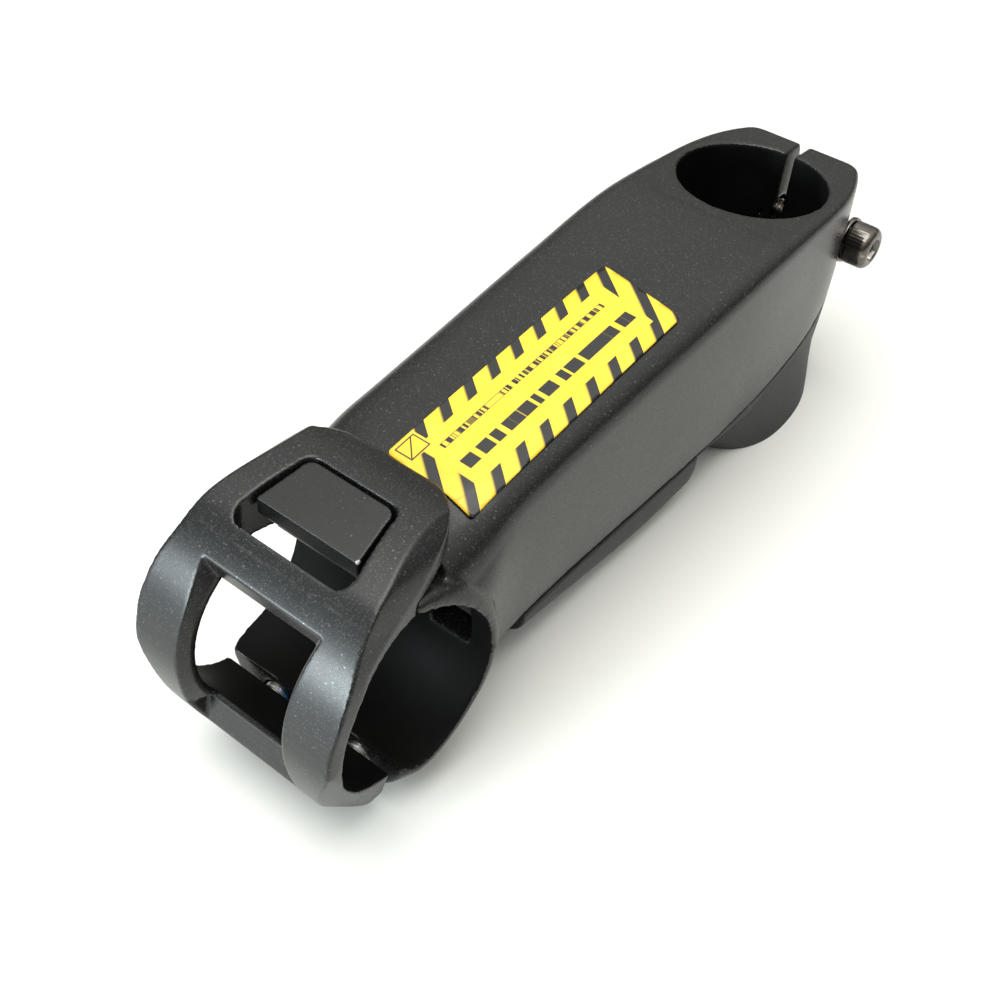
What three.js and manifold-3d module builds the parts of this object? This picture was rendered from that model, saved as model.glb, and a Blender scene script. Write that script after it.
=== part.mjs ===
// Handlebar stem with under-stem cable covers and a hooked, windowed faceplate.
// Millimetres, +Z up along the steerer axis, +X forward to the handlebar, +Y to the rider's left.
import * as THREE from 'three';
import { mergeVertices } from 'three/addons/utils/BufferGeometryUtils.js';
import Module from 'manifold-3d';

const wasm = await Module();
wasm.setup();

// ---- driving dimensions ----------------------------------------------------------------------
const STEERER_R = 14.3;            // 28.6 mm steerer
const BAR_R = 15.9;                // 31.8 mm handlebar
const BAR_X = 115;                 // bar axis ahead of the steerer axis
const BAR_Z = 14;                  // bar axis height, rear cover's underside at zero
const CLAMP_TOP = 49.45;           // flat ring that the headset cap sits on
const FLAT_FRONT = 18;             // how far forward of the steerer axis the flat runs
const CLAMP_LOW = 9.5;             // underside of the steerer clamp, inside the rear cover
const WALL = 3.8;                  // tube wall around the cable channel
const GAP = 0.35;                  // clearance between pieces that touch
const SLIT = 1.8;                  // pinch slot behind the steerer bore
const WIDE = 60;                   // longer than any cut across the stem
const CURVE_STEPS = 5;
const WELD = 5e-3;                 // corners closer than this are one corner

const STEERER_BOLT = { x: -17.6, upper: 35.8, lower: 20.5, shank: 2.5, head: 4.25, headLong: 5 };
const PLATE_BOLT = {
  y: 9, z: -6.1, shank: 2.5, head: 4.25, headLong: 5, seat: 104.5, tip: 124, play: 0.6,
};
const WASHER = { inner: 2.8, outer: 4.6, thick: 1 };
const INSERT = { inner: 2.75, outer: 3.1 };                       // wire thread insert of a steerer bolt
const COVER_SCREW = { shank: 1.5, head: 2.8, headLong: 1.7, long: 9, post: 4 };
const LAND_FRONT = 116;            // front face of the lower land of the handlebar clamp
const PLATE_BACK = 117.9;          // rear face of the faceplate below the bar
const TRAY_WALL = 1.8;             // side and floor of the front cover
const PLATE_LOW = -9;              // underside of the faceplate
const COVER_SPLIT = 31;            // where the front and rear covers meet
const PORT = { inner: 8.5, low: 12, high: 23, flare: [[90, 13], [96, 16], [104, 17.6]] }; // cable ports
const LIP = 2.2;                   // how far the body is set in behind the covers

// ---- materials -------------------------------------------------------------------------------
const paint = (color, roughness, metalness) => new THREE.MeshStandardMaterial({ color, roughness, metalness });
const SATIN_BLACK = paint(0x3b3b39, 0.5, 0.35);
const PLATE_BLACK = paint(0x3e3f3e, 0.45, 0.4);
const COVER_BLACK = paint(0x35363a, 0.6, 0);
const BOLT_BLACK = paint(0x2c2a28, 0.3, 0.9);
const STEEL = paint(0xa9a8a2, 0.35, 1);
const FILM = paint(0xe9d838, 0.45, 0);

// ---- solids ----------------------------------------------------------------------------------
function solid(geometry, weld = 1e-4) {
  const plain = geometry.clone();
  plain.deleteAttribute('normal');
  plain.deleteAttribute('uv');
  const merged = mergeVertices(plain, weld);
  return new wasm.Manifold(new wasm.Mesh({
    numProp: 3,
    vertProperties: new Float32Array(merged.attributes.position.array),
    triVerts: new Uint32Array(merged.index.array),
  }));
}

// Cuts that graze a face can leave specks; the piece itself is the largest part.
function largest(body) {
  return body.decompose().reduce((best, part) => (part.volume() > best.volume() ? part : best));
}

function geometryOf(body) {
  const mesh = body.getMesh();
  const geometry = new THREE.BufferGeometry();
  geometry.setAttribute('position', new THREE.BufferAttribute(new Float32Array(mesh.vertProperties), 3));
  geometry.setIndex(new THREE.BufferAttribute(new Uint32Array(mesh.triVerts), 1));
  geometry.computeVertexNormals();
  return geometry;
}

// Closed skin over rings of equal length, each end closed by a fan about its middle.
function loft(rings) {
  const count = rings[0].length;
  const points = rings.flat();
  const middles = [rings[0], rings[rings.length - 1]].map((ring) => {
    const middle = new THREE.Vector3();
    ring.forEach((point) => middle.addScaledVector(point, 1 / count));
    return middle;
  });
  points.push(...middles);
  const faces = [];
  for (let i = 0; i + 1 < rings.length; i += 1) {
    for (let j = 0; j < count; j += 1) {
      const a = i * count + j;
      const b = i * count + (j + 1) % count;
      faces.push(a, b, a + count, b, b + count, a + count);
    }
  }
  const first = rings.length * count;
  const last = (rings.length - 1) * count;
  for (let j = 0; j < count; j += 1) {
    const k = (j + 1) % count;
    faces.push(first, k, j, first + 1, last + j, last + k);
  }
  const geometry = new THREE.BufferGeometry().setFromPoints(points);
  geometry.setIndex(faces);
  const body = solid(geometry);
  if (body.volume() > 0) return body;
  geometry.setIndex(faces.map((_, i) => faces[i - (i % 3) + 2 - (i % 3)]));
  return solid(geometry);
}

function shapeOf(outline) {
  return new THREE.Shape(outline.map((p) => new THREE.Vector2(...p)));
}

// Prism of a plane outline. The plane is named by its two axes.
function prism(plane, outline, from, to) {
  const shape = outline instanceof THREE.Shape ? outline : shapeOf(outline);
  const options = { depth: to - from, bevelEnabled: false, curveSegments: CURVE_STEPS };
  const geometry = new THREE.ExtrudeGeometry(shape, options);
  geometry.translate(0, 0, from);
  const turn = new THREE.Matrix4();
  if (plane === 'xz') turn.makeRotationX(Math.PI / 2).scale(new THREE.Vector3(1, 1, -1));
  if (plane === 'yz') turn.set(0, 0, 1, 0, 1, 0, 0, 0, 0, 1, 0, 0, 0, 0, 0, 1);
  geometry.applyMatrix4(turn);
  return solid(plane === 'xz' ? flipped(geometry) : geometry);
}

function flipped(geometry) {
  const copy = geometry.index ? geometry.toNonIndexed() : geometry.clone();
  const at = copy.attributes.position;
  for (let i = 0; i < at.count; i += 3) {
    const b = new THREE.Vector3().fromBufferAttribute(at, i + 1);
    const c = new THREE.Vector3().fromBufferAttribute(at, i + 2);
    at.setXYZ(i + 1, c.x, c.y, c.z);
    at.setXYZ(i + 2, b.x, b.y, b.z);
  }
  return copy;
}

function rod(axis, radius, from, to, [a, b], sides = 40) {
  const geometry = new THREE.CylinderGeometry(radius, radius, to - from, sides);
  const middle = (from + to) / 2;
  if (axis === 'x') geometry.rotateZ(-Math.PI / 2).translate(middle, a, b);
  if (axis === 'y') geometry.translate(a, middle, b);
  if (axis === 'z') geometry.rotateX(Math.PI / 2).translate(a, b, middle);
  return solid(geometry);
}

// Turned piece about +Z from [radius, height] pairs, then laid along an axis.
function turned(profile, sides = 28) {
  return new THREE.LatheGeometry(profile.map((p) => new THREE.Vector2(...p)), sides).rotateX(Math.PI / 2);
}

function box(from, to) {
  const size = to.map((value, i) => value - from[i]);
  const geometry = new THREE.BoxGeometry(...size);
  geometry.translate(...from.map((value, i) => value + size[i] / 2));
  return solid(geometry);
}

// Rows of [x, ...values] joined by a smooth curve through every row.
function rowAt(rows, x) {
  const last = rows.length - 1;
  if (x <= rows[0][0]) return rows[0].slice(1);
  if (x >= rows[last][0]) return rows[last].slice(1);
  const i = rows.findIndex((row) => row[0] > x) - 1;
  const step = rows[i + 1][0] - rows[i][0];
  const t = (x - rows[i][0]) / step;
  const slope = (k, c) => {
    const [a, b] = [rows[Math.max(k - 1, 0)], rows[Math.min(k + 1, last)]];
    return (b[c] - a[c]) / (b[0] - a[0]);
  };
  return rows[i].slice(1).map((_, j) => {
    const c = j + 1;
    const [p, q] = [rows[i][c], rows[i + 1][c]];
    const [m, n] = [slope(i, c) * step, slope(i + 1, c) * step];
    return (2 * t ** 3 - 3 * t ** 2 + 1) * p + (t ** 3 - 2 * t ** 2 + t) * m
      + (3 * t ** 2 - 2 * t ** 3) * q + (t ** 3 - t ** 2) * n;
  });
}

function stations(rows, count) {
  const [start, end] = [rows[0][0], rows[rows.length - 1][0]];
  const even = Array.from({ length: count + 1 }, (_, i) => start + ((end - start) * i) / count);
  const all = [...even, ...rows.map((row) => row[0])].sort((a, b) => a - b);
  return all.filter((x, i) => i === 0 || x - all[i - 1] > 0.4);
}

// ---- stem body -------------------------------------------------------------------------------
// x, top height, half-width at the shoulder, at the middle, at the foot, foot height, shoulder radius
const TUBE = [
  [-22.4, 43.0, 7.5, 8.5, 7.5, 16.0, 3.0],
  [-20.9, 48.8, 10.6, 11.4, 10.4, 10.5, 1.6],
  [-18.0, 49.5, 13.2, 13.8, 12.8, CLAMP_LOW, 1.2],
  [-8.0, 49.5, 16.6, 17.0, 15.8, CLAMP_LOW, 1.4],
  [6.0, 49.5, 18.0, 18.2, 16.4, CLAMP_LOW, 2.0],
  [24.0, 49.3, 18.8, 18.8, 16.4, 9.4, 3.2],
  [45.0, 46.7, 18.5, 18.5, 15.8, 7.6, 4.4],
  [70.0, 42.5, 17.9, 17.9, 15.0, 5.0, 5.0],
  [86.0, 39.6, 17.6, 17.8, 15.0, 2.8, 5.2],
  [93.0, 38.3, 17.6, 18.5, 15.6, 0.5, 5.6],
  [99.0, 37.1, 17.6, 20.0, 16.6, -3.5, 7.6],
  [106.0, 35.8, 17.6, 20.4, 16.8, -6.0, 8.8],
];
const CROWN = 0.5;                 // how much the top falls to its shoulders, ahead of the clamp
const CROWN_RUN = [6, 45];

function tubeRing(x, inset = 0, foot = null) {
  const [top, shoulder, middle, low, base, radius] = rowAt(TUBE, x);
  const [a, m, c] = [shoulder - inset, middle - inset, low - inset];
  const high = top - inset;
  const crown = CROWN * THREE.MathUtils.smoothstep(x, ...CROWN_RUN);
  const floor = foot === null ? base : foot;
  const corner = Math.min(radius, a * 0.5);
  const half = new THREE.Path();
  half.moveTo(0, high);
  half.quadraticCurveTo(a * 0.6, high, a - corner, high - crown);
  half.quadraticCurveTo(a, high - crown - corner * 0.15, a + (m - a) * 0.25, high - crown - corner);
  half.bezierCurveTo(m, high * 0.7 + floor * 0.3, m, high * 0.4 + floor * 0.6, c, floor + 1.5);
  half.quadraticCurveTo(c, floor, c - 1.5, floor);
  const right = half.getPoints(CURVE_STEPS).map((p) => new THREE.Vector3(x, -p.x, p.y));
  const left = right.slice(1).reverse().map((p) => new THREE.Vector3(x, -p.y, p.z));
  return [...right, ...left];
}

function tube() {
  return loft(stations(TUBE, 18).map((x) => tubeRing(x)));
}

// The tube set in on every side, where a cover laps over it. Its tail is round below TAIL_TOP.
const TAIL_R = 20.9;
const TAIL_TOP = 15.5;

function innerTube(inset) {
  const back = TUBE[0][0] + 0.6 * inset;
  const below = 2 * (LIP - inset);
  const all = [back, ...stations(TUBE, 14).filter((x) => x > back + 0.4)];
  const whole = loft(all.map((x) => tubeRing(x, inset, rowAt(TUBE, x)[4] - below)));
  const room = LIP - inset;
  const tail = rod('z', TAIL_R + room, -WIDE, 2 * WIDE, [0, 0], 64)
    .add(box([0, -WIDE, -WIDE], [2 * WIDE, WIDE, 2 * WIDE]))
    .add(box([-WIDE, -WIDE, TAIL_TOP - room], [WIDE, WIDE, 2 * WIDE]));
  return whole.intersect(tail);
}

// Cradle that holds the rear half of the bar:
// angle, outer radius, half-width at the rim, width of the sloped flank
const CRADLE = [
  [90, 17.6, 17.6, 1.2], [112, 18.6, 18.9, 1.2], [145, 18.8, 20.4, 1.2], [180, 18.9, 21.0, 1.8],
  [205, 20.2, 20.7, 4.5], [225, 22.0, 20.4, 7], [245, 23.3, 20.3, 8], [258, 24.0, 20.2, 8],
  [266, 24.1, 19.8, 7.8], [271, 24.1, 19.1, 7.4], [276, 24.1, 18.3, 7],
];
const RIM = 1.3;                   // wall of the cradle at its open ends

function cradle() {
  const inside = BAR_R - 1;
  const rings = [];
  for (let angle = CRADLE[0][0]; angle <= CRADLE[CRADLE.length - 1][0]; angle += 6) {
    const [outer, width, slope] = rowAt(CRADLE, angle);
    const a = THREE.MathUtils.degToRad(angle);
    const at = (r, y) => new THREE.Vector3(BAR_X + r * Math.cos(a), y, BAR_Z + r * Math.sin(a));
    rings.push([
      at(inside, -width), at(BAR_R + RIM, -width), at(outer, -width + slope),
      at(outer, width - slope), at(BAR_R + RIM, width), at(inside, width),
    ]);
  }
  return loft(rings);
}

const SEAM_STEPS = 26;

// Line on the side where the covers begin, from the back of the clamp forward: x, height
const SEAM = [
  [-40, 27], [-30, 26.5], [-16, 25.5], [-9, 23.0], [0, 18.2], [8, 15.2], [18, 12.6], [31, 10.2],
  [46, 8.2], [62, 6.2], [78, 4.4], [90, 3.0],
];

function belowSeam(gap) {
  const [back, front] = [SEAM[0][0], SEAM[SEAM.length - 1][0]];
  const edge = [];
  for (let i = 0; i <= SEAM_STEPS; i += 1) {
    const x = back + ((front - back) * i) / SEAM_STEPS;
    edge.push([x, rowAt(SEAM, x)[0] - gap]);
  }
  return prism('xz', [[back, -WIDE], ...edge, [front, -WIDE]], -WIDE, WIDE);
}

// Everything that belongs to the faceplate's side of the joint, seen from the side.
function plateSide() {
  return prism('xz', [
    [98.6, 80], [98.6, 37.4], [103.5, 35.2], [108.5, 33.6], [113.6, 31.4], [114.6, BAR_Z],
    [LAND_FRONT, -1.5], [LAND_FRONT, -WIDE], [200, -WIDE], [200, 80],
  ], -WIDE, WIDE);
}

// Pad that stands up through the faceplate's top window, tapering to the rear.
const PAD = {
  back: 108.4, front: 117.8, backWide: 8.6, frontWide: 9.9, backHigh: 40.1, frontHigh: 37.5,
  lip: 2.8, stalk: 114.4, round: 2.2, low: 30,
};

function pad() {
  const { back, front, backWide, frontWide, backHigh, frontHigh, lip, stalk, round, low } = PAD;
  const side = [[back, low], [front, low], [front, frontHigh], [back, backHigh]];
  const plan = new THREE.Shape();
  plan.moveTo(front, -frontWide);
  plan.lineTo(front, frontWide);
  plan.lineTo(back + round, backWide);
  plan.quadraticCurveTo(back, backWide, back, backWide - round);
  plan.lineTo(back, -backWide + round);
  plan.quadraticCurveTo(back, -backWide, back + round, -backWide);
  const ledge = frontHigh - lip;
  const under = [
    [stalk, low - 1], [front + 1, low - 1], [front + 1, ledge], [front - 1, ledge], [stalk, ledge - 1.6],
  ];
  const block = prism('xz', side, -WIDE, WIDE).intersect(prism('xy', plan, -WIDE, 2 * WIDE));
  return block.subtract(prism('xz', under, -WIDE, WIDE));
}

// Cable channel inside the tube, open underneath: where it starts and ends along the tube
const CHANNEL = [21.5, 94];

function channel() {
  const [from, to] = CHANNEL;
  const steps = 12;
  const rings = [];
  for (let i = 0; i <= steps; i += 1) rings.push(tubeRing(from + ((to - from) * i) / steps, WALL, -WIDE / 2));
  return loft(rings);
}

function coverScrews() {
  return [{ x: 39, y: 0, z: 0, name: 'rear' }, { x: 71, y: 0, z: 0, name: 'front' }];
}

// Passage from the tube's channel into the bar bore, flaring outward.
function cablePort(side) {
  const { inner, low, high, flare } = PORT;
  return loft(flare.map(([x, outer]) => {
    const corners = [[inner, low], [outer, low], [outer, high], [inner, high]];
    return corners.map(([y, z]) => new THREE.Vector3(x, side * y, z));
  }));
}

function screwPosts() {
  const posts = coverScrews().map((at) => rod('z', COVER_SCREW.post, at.z + 0.4, 60, [at.x, at.y], 24));
  const roof = loft(stations(TUBE, 14).map((x) => tubeRing(x, 0.5)));
  return posts.reduce((all, post) => all.add(post), posts[0]).intersect(roof);
}

// Grooves and seats that the cover screws, bolts and cables need.
function stemBody() {
  const lower = belowSeam(0);
  let body = tube().subtract(lower).add(tube().intersect(lower).intersect(innerTube(LIP)));
  body = body.add(cradle());
  body = body.subtract(channel());
  body = body.add(screwPosts());
  body = body.subtract(plateSide());
  body = body.add(pad());
  body = body.subtract(rod('y', BAR_R, -WIDE, WIDE, [BAR_X, BAR_Z], 72));
  body = body.subtract(rod('z', STEERER_R, -WIDE, 2 * WIDE, [0, 0], 64));
  body = body.subtract(box([-WIDE, -SLIT / 2, -WIDE], [-1, SLIT / 2, 2 * WIDE]));
  for (const side of [-1, 1]) {
    body = body.subtract(cablePort(side));
    const [y, z] = [side * PLATE_BOLT.y, PLATE_BOLT.z];
    body = body.subtract(rod('x', PLATE_BOLT.shank + GAP, 90, 130, [y, z], 28));
    body = body.subtract(rod('x', WASHER.outer + GAP, 80, PLATE_BOLT.seat + WASHER.thick + GAP, [y, z], 28));
  }
  body = body.subtract(box([-WIDE, -WIDE, CLAMP_TOP], [FLAT_FRONT, WIDE, 2 * WIDE]));
  for (const bolt of steererBolts()) {
    const { x } = STEERER_BOLT;
    const s = bolt.side;
    const span = (a, b) => [Math.min(s * a, s * b), Math.max(s * a, s * b)];
    body = body.subtract(rod('y', STEERER_BOLT.shank + GAP, ...span(-bolt.nut[1] - GAP, 30), [x, bolt.z], 28));
    const pocket = span(-bolt.nut[0] + GAP, -bolt.nut[1] - GAP);
    body = body.subtract(rod('y', INSERT.outer + GAP, ...pocket, [x, bolt.z], 28));
    body = body.subtract(rod('y', WASHER.outer + GAP, ...span(bolt.seat, 30), [x, bolt.z], 28));
  }
  for (const at of coverScrews()) {
    const top = at.z + COVER_SCREW.long;
    body = body.subtract(rod('z', COVER_SCREW.shank + GAP, at.z - 5, top, [at.x, at.y], 20));
  }
  return largest(body);
}

function steererBolts() {
  return [
    { name: 'upper', side: 1, z: STEERER_BOLT.upper, seat: 9.5, out: 4.6, long: 22, nut: [3.4, 10.8] },
    { name: 'lower', side: -1, z: STEERER_BOLT.lower, seat: 6.2, out: 0, long: 15, nut: [3.4, 8.4] },
  ];
}

// ---- faceplate -------------------------------------------------------------------------------
const PLATE_TOP = [
  [98.9, 38.6], [99.6, 39.6], [104, 40.5], [108.4, 40.2], [113.5, 39.2], [117.9, 37.7], [122.3, 35.4],
  [127.2, 30.2], [131, 24.2], [133.4, 18], [133.8, 12], [132.4, 5], [129.8, -0.6], [127.2, -4.8],
  [124.6, -7.8], [121.4, PLATE_LOW], [118.4, PLATE_LOW],
];

// Half-width of the plate seen from above, from the front, and from below along the diagonal
const PLATE_PLAN = [
  [98.6, 5.5], [99.4, 9], [101.4, 12], [105, 15.2], [111, 17.2], [119, 18.3], [124.5, 19.2],
  [127.5, 19.9], [130.9, 20.2], [134.5, 19.8],
];
const PLATE_FRONT = [
  [-9.3, 14.4], [-8.7, 15.5], [-7.2, 16.4], [-5, 16.9], [-2, 17.6], [2, 18.4], [8, 19.5], [14, 20.1],
  [18, 20.2], [22, 20.1], [25.6, 19.8], [28, 19.4], [30.4, 18.7], [32, 18.2], [37, 16.7], [40.6, 13.4],
];
const PLATE_UNDER = [
  [6, 24.5], [10, 22], [13, 20.2], [15.5, 18.9], [17.8, 17.4], [19.6, 15.9], [21.1, 14.3], [22, 12.5],
  [22.6, 9.5], [23, 6],
];

function mirrored(rows) {
  return [...rows, ...rows.slice().reverse().map(([a, b]) => [a, -b])];
}

function smoothed(points, count) {
  const curve = new THREE.SplineCurve(points.map((p) => new THREE.Vector2(...p)));
  return curve.getPoints(count).map((p) => [p.x, p.y]);
}

function faceplate() {
  const arc = smoothed(PLATE_TOP, 34);
  const under = [
    [PLATE_BACK, PLATE_LOW], [PLATE_BACK, BAR_Z], [114.6 + GAP, BAR_Z], [113.6 + GAP, 31.4 + GAP],
    [108.5, 33.6 + GAP], [103.5, 35.2 + GAP], [98.6, 37.4 + GAP],
  ];
  let plate = prism('xz', [...arc, ...under], -WIDE, WIDE);
  plate = plate.intersect(prism('xy', mirrored(smoothed(PLATE_PLAN, 20)), -WIDE, 2 * WIDE));
  const front = mirrored(smoothed(PLATE_FRONT, 18)).map(([z, y]) => [y, z]);
  plate = plate.intersect(prism('yz', front, 0, 3 * WIDE));
  plate = plate.intersect(cornerTrim());
  plate = plate.subtract(rod('y', BAR_R, -WIDE, WIDE, [BAR_X, BAR_Z], 72));
  plate = plate.subtract(topWindow());
  plate = plate.subtract(frontWindow());
  for (const side of [-1, 1]) {
    const at = [side * PLATE_BOLT.y, PLATE_BOLT.z];
    plate = plate.subtract(rod('x', PLATE_BOLT.shank + PLATE_BOLT.play, 100, PLATE_BOLT.tip + 1, at, 28));
  }
  return largest(plate);
}

function topWindow() {
  const plan = new THREE.Shape();
  const [back, front, narrow, wide, round] = [PAD.back - 0.7, 122.2, PAD.backWide + 0.6, 11.2, 2.6];
  plan.moveTo(front, -wide + round);
  plan.lineTo(front, wide - round);
  plan.quadraticCurveTo(front, wide, front - round, wide);
  plan.lineTo(back + round, narrow);
  plan.quadraticCurveTo(back, narrow, back, narrow - round);
  plan.lineTo(back, -narrow + round);
  plan.quadraticCurveTo(back, -narrow, back + round, -narrow);
  plan.lineTo(front - round, -wide);
  plan.quadraticCurveTo(front, -wide, front, -wide + round);
  return prism('xy', plan, BAR_Z, 2 * WIDE);
}

// The plate's lower corners, rounded off as seen along the line that falls forward at 45 degrees.
function cornerTrim() {
  const shape = shapeOf(mirrored([[-WIDE, PLATE_UNDER[0][1]], ...smoothed(PLATE_UNDER, 14)]));
  const geometry = new THREE.ExtrudeGeometry(shape, { depth: 2 * WIDE, bevelEnabled: false });
  return solid(geometry.translate(0, 0, -WIDE).rotateY(Math.PI / 4).translate(BAR_X, 0, BAR_Z));
}

// Front window: a straight opening inside a sloped frame that follows the plate round the bar.
const WINDOW = { half: 9.8, high: 27.3, low: 4, radius: 17, angles: [-38, 51.5] };
const FRAME = { half: 12, radius: 21, angles: [-52, 55.5] };
const CROSSBAR = { half: 11, high: 3.8, front: 128, low: -3, slope: 1 };

function frontWindow() {
  const corner = ({ half, radius, angles: [from, to] }, side, t) => {
    const angle = THREE.MathUtils.degToRad(THREE.MathUtils.lerp(from, to, t));
    return new THREE.Vector3(BAR_X + radius * Math.cos(angle), side * half, BAR_Z + radius * Math.sin(angle));
  };
  const rings = [];
  for (let i = 0; i <= 12; i += 1) {
    const t = i / 12;
    rings.push([corner(WINDOW, -1, t), corner(WINDOW, 1, t), corner(FRAME, 1, t), corner(FRAME, -1, t)]);
  }
  const { half, high, front, low, slope } = CROSSBAR;
  const recess = prism('xz', [[front, high], [front + slope, low], [140, low], [140, high]], -half, half);
  return loft(rings)
    .add(box([BAR_X, -WINDOW.half, WINDOW.low], [140, WINDOW.half, WINDOW.high]))
    .subtract(box([BAR_X, -WIDE, -WIDE], [140, WIDE, high]))
    .add(recess);
}

// ---- covers ----------------------------------------------------------------------------------
// Rear cover, seen from above at each height: height, back, front, half-width
const SKIRT = [
  [-0.4, -19.6, 17.4, 18.6], [0, -20, 18, 19.2], [5, -22.2, 26, 18.2], [10, -22.4, 33, 17.4],
  [17, -22.4, 36, 16.8], [27, -22.2, 40, 16.6],
];

function skirtRing(z) {
  const [back, front, wide] = rowAt(SKIRT, z);
  const plan = new THREE.Path();
  plan.moveTo(front, 0);
  plan.bezierCurveTo(front, wide * 0.55, front * 0.72, wide, 0, wide);
  plan.bezierCurveTo(back * 0.72, wide, back, wide * 0.62, back, 0);
  const right = plan.getPoints(8).map((p) => new THREE.Vector3(p.x, p.y, z));
  return [...right, ...right.slice(1, -1).reverse().map((p) => new THREE.Vector3(p.x, -p.y, z))];
}

function rearCover() {
  const outer = loft(SKIRT.map((row) => skirtRing(row[0])));
  const body = loft(stations(TUBE, 14).map((x) => tubeRing(x)));
  let cover = outer.add(body.intersect(box([-30, -30, 5], [COVER_SPLIT, 30, 60])));
  cover = cover.intersect(belowSeam(GAP)).intersect(box([-40, -WIDE, -20], [COVER_SPLIT - GAP / 2, WIDE, 60]));
  cover = cover.subtract(innerTube(LIP - GAP));
  cover = cover.subtract(rod('z', 16.6, 2.4, WIDE, [0, 0], 56));
  cover = cover.subtract(rod('z', STEERER_R + 0.4, -WIDE, WIDE, [0, 0], 56));
  cover = cover.subtract(box([15, -11, 2.6], [WIDE, 11, WIDE]));
  const notch = WASHER.outer + 2 * GAP;
  const { x, lower } = STEERER_BOLT;
  cover = cover.subtract(rod('y', notch, -WIDE, -5, [x, lower], 24));
  return cover.subtract(box([x - notch, -WIDE, lower], [x + notch, -5, WIDE]));
}

// Front cover: a shallow tray under the tube, open at its front end. x, floor height, half-width at the floor
const TRAY = [
  [COVER_SPLIT + GAP / 2, -2.2, 11.4], [44, -3.7, 12], [60, -4.1, 11.8], [74, -3.9, 11.4], [82, -3.5, 11.2],
];

function trayRing(x, inset, top) {
  const [floor, low] = rowAt(TRAY, x);
  const seam = rowAt(SEAM, x)[0];
  const wide = rowAt(TUBE, x)[3] + 0.1 - inset;
  const half = new THREE.Path();
  half.moveTo(0, top === null ? seam - GAP : top);
  half.lineTo(wide, top === null ? seam - GAP : top);
  half.quadraticCurveTo(wide, floor + inset + 3, low - inset, floor + inset + 0.9);
  half.quadraticCurveTo(low - inset - 1.4, floor + inset, low - inset - 4, floor + inset);
  half.lineTo(0, floor + inset);
  const right = half.getPoints(CURVE_STEPS).map((p) => new THREE.Vector3(x, -p.x, p.y));
  const left = right.slice(1, -1).reverse().map((p) => new THREE.Vector3(x, -p.y, p.z));
  return [...right, ...left];
}

function frontCover() {
  const run = (from, to, inset, top) => {
    const rings = [];
    for (let i = 0; i <= 10; i += 1) rings.push(trayRing(from + ((to - from) * i) / 10, inset, top));
    return loft(rings);
  };
  const [back, front] = [TRAY[0][0], TRAY[TRAY.length - 1][0]];
  let tray = run(back, front, 0, null).subtract(run(back - 1, front + 1, TRAY_WALL, 40));
  const end = prism('xz', [[79.4, -20], [83, 20], [100, 20], [100, -20]], -WIDE, WIDE);
  tray = tray.subtract(end);
  for (const at of coverScrews()) {
    const [floor] = rowAt(TRAY, at.x);
    tray = tray.add(rod('z', COVER_SCREW.post, floor + 0.5, at.z, [at.x, at.y], 24));
    tray = tray.subtract(rod('z', COVER_SCREW.shank + GAP, -20, 20, [at.x, at.y], 20));
    tray = tray.subtract(rod('z', COVER_SCREW.head + GAP, -20, at.z - 1.6, [at.x, at.y], 24));
  }
  return tray;
}

// ---- fasteners -------------------------------------------------------------------------------
// Cap screw along +Z: shank below zero, head above it with a hexagon socket.
function capScrew({ shank, head, headLong, long, socket }) {
  const round = 0.35 * shank;
  const profile = [
    [0, -long], [shank - 0.5, -long], [shank, -long + 0.5], [shank, 0], [head - 0.2, 0], [head, 0.2],
    [head, headLong - round], [head - 0.35 * round, headLong - 0.4 * round], [head - round, headLong],
    [0, headLong],
  ];
  const key = new THREE.CylinderGeometry(socket, socket, headLong, 6).rotateX(Math.PI / 2)
    .translate(0, 0, headLong * 0.9);
  return solid(turned(profile)).subtract(solid(key));
}

function ring(inner, outer, thick, sides = 28) {
  const edge = 0.12;
  return turned([
    [inner, 0], [outer - edge, 0], [outer, edge], [outer, thick - edge], [outer - edge, thick],
    [inner, thick], [inner, 0],
  ], sides);
}

// Safety-instruction film on the tube's top, left of the middle, with cut-out teeth along both edges
const LABEL = { back: 43.3, front: 97.6, right: -3.2, left: 14.4, skew: 0.16, lift: 0.3, thick: 0.25 };

function label() {
  const shell = (lift) => loft(stations(TUBE, 14).map((x) => tubeRing(x, -lift)));
  const { back, front, right, left, skew, lift, thick } = LABEL;
  const film = shell(lift + thick).subtract(shell(lift));
  const slip = (left - right) * skew;
  const outline = [[back, right], [front, right], [front + slip / 3, left], [back + slip, left]];
  return film.intersect(prism('xy', outline, 30, WIDE));
}

// ---- the stem --------------------------------------------------------------------------------
const stem = new THREE.Group();
const assembly = new THREE.Group();
stem.add(assembly);

function addPiece(name, body, material, parent = assembly) {
  const clean = (raw) => geometryOf(largest(solid(geometryOf(raw), WELD).simplify(2 * WELD)));
  const geometry = body instanceof THREE.BufferGeometry ? body : clean(body);
  const mesh = new THREE.Mesh(geometry, material);
  mesh.name = name;
  parent.add(mesh);
  return mesh;
}

// Washer under the head of the screw that the group holds.
function addWasher(name, material, group) {
  const washer = addPiece(name, ring(WASHER.inner, WASHER.outer, WASHER.thick), material, group);
  washer.position.z = -WASHER.thick - GAP / 2;
}

// Group whose +Z looks along the given direction, for turned pieces.
function aimed(direction, position) {
  const group = new THREE.Group();
  group.quaternion.setFromUnitVectors(new THREE.Vector3(0, 0, 1), new THREE.Vector3(...direction));
  group.position.set(...position);
  assembly.add(group);
  return group;
}

addPiece('stem_body', stemBody(), SATIN_BLACK);
addPiece('faceplate', faceplate(), PLATE_BLACK);
addPiece('rear_cable_cover', rearCover(), COVER_BLACK);
addPiece('front_cable_cover', frontCover(), COVER_BLACK);
addPiece('label', label(), FILM);

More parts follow.
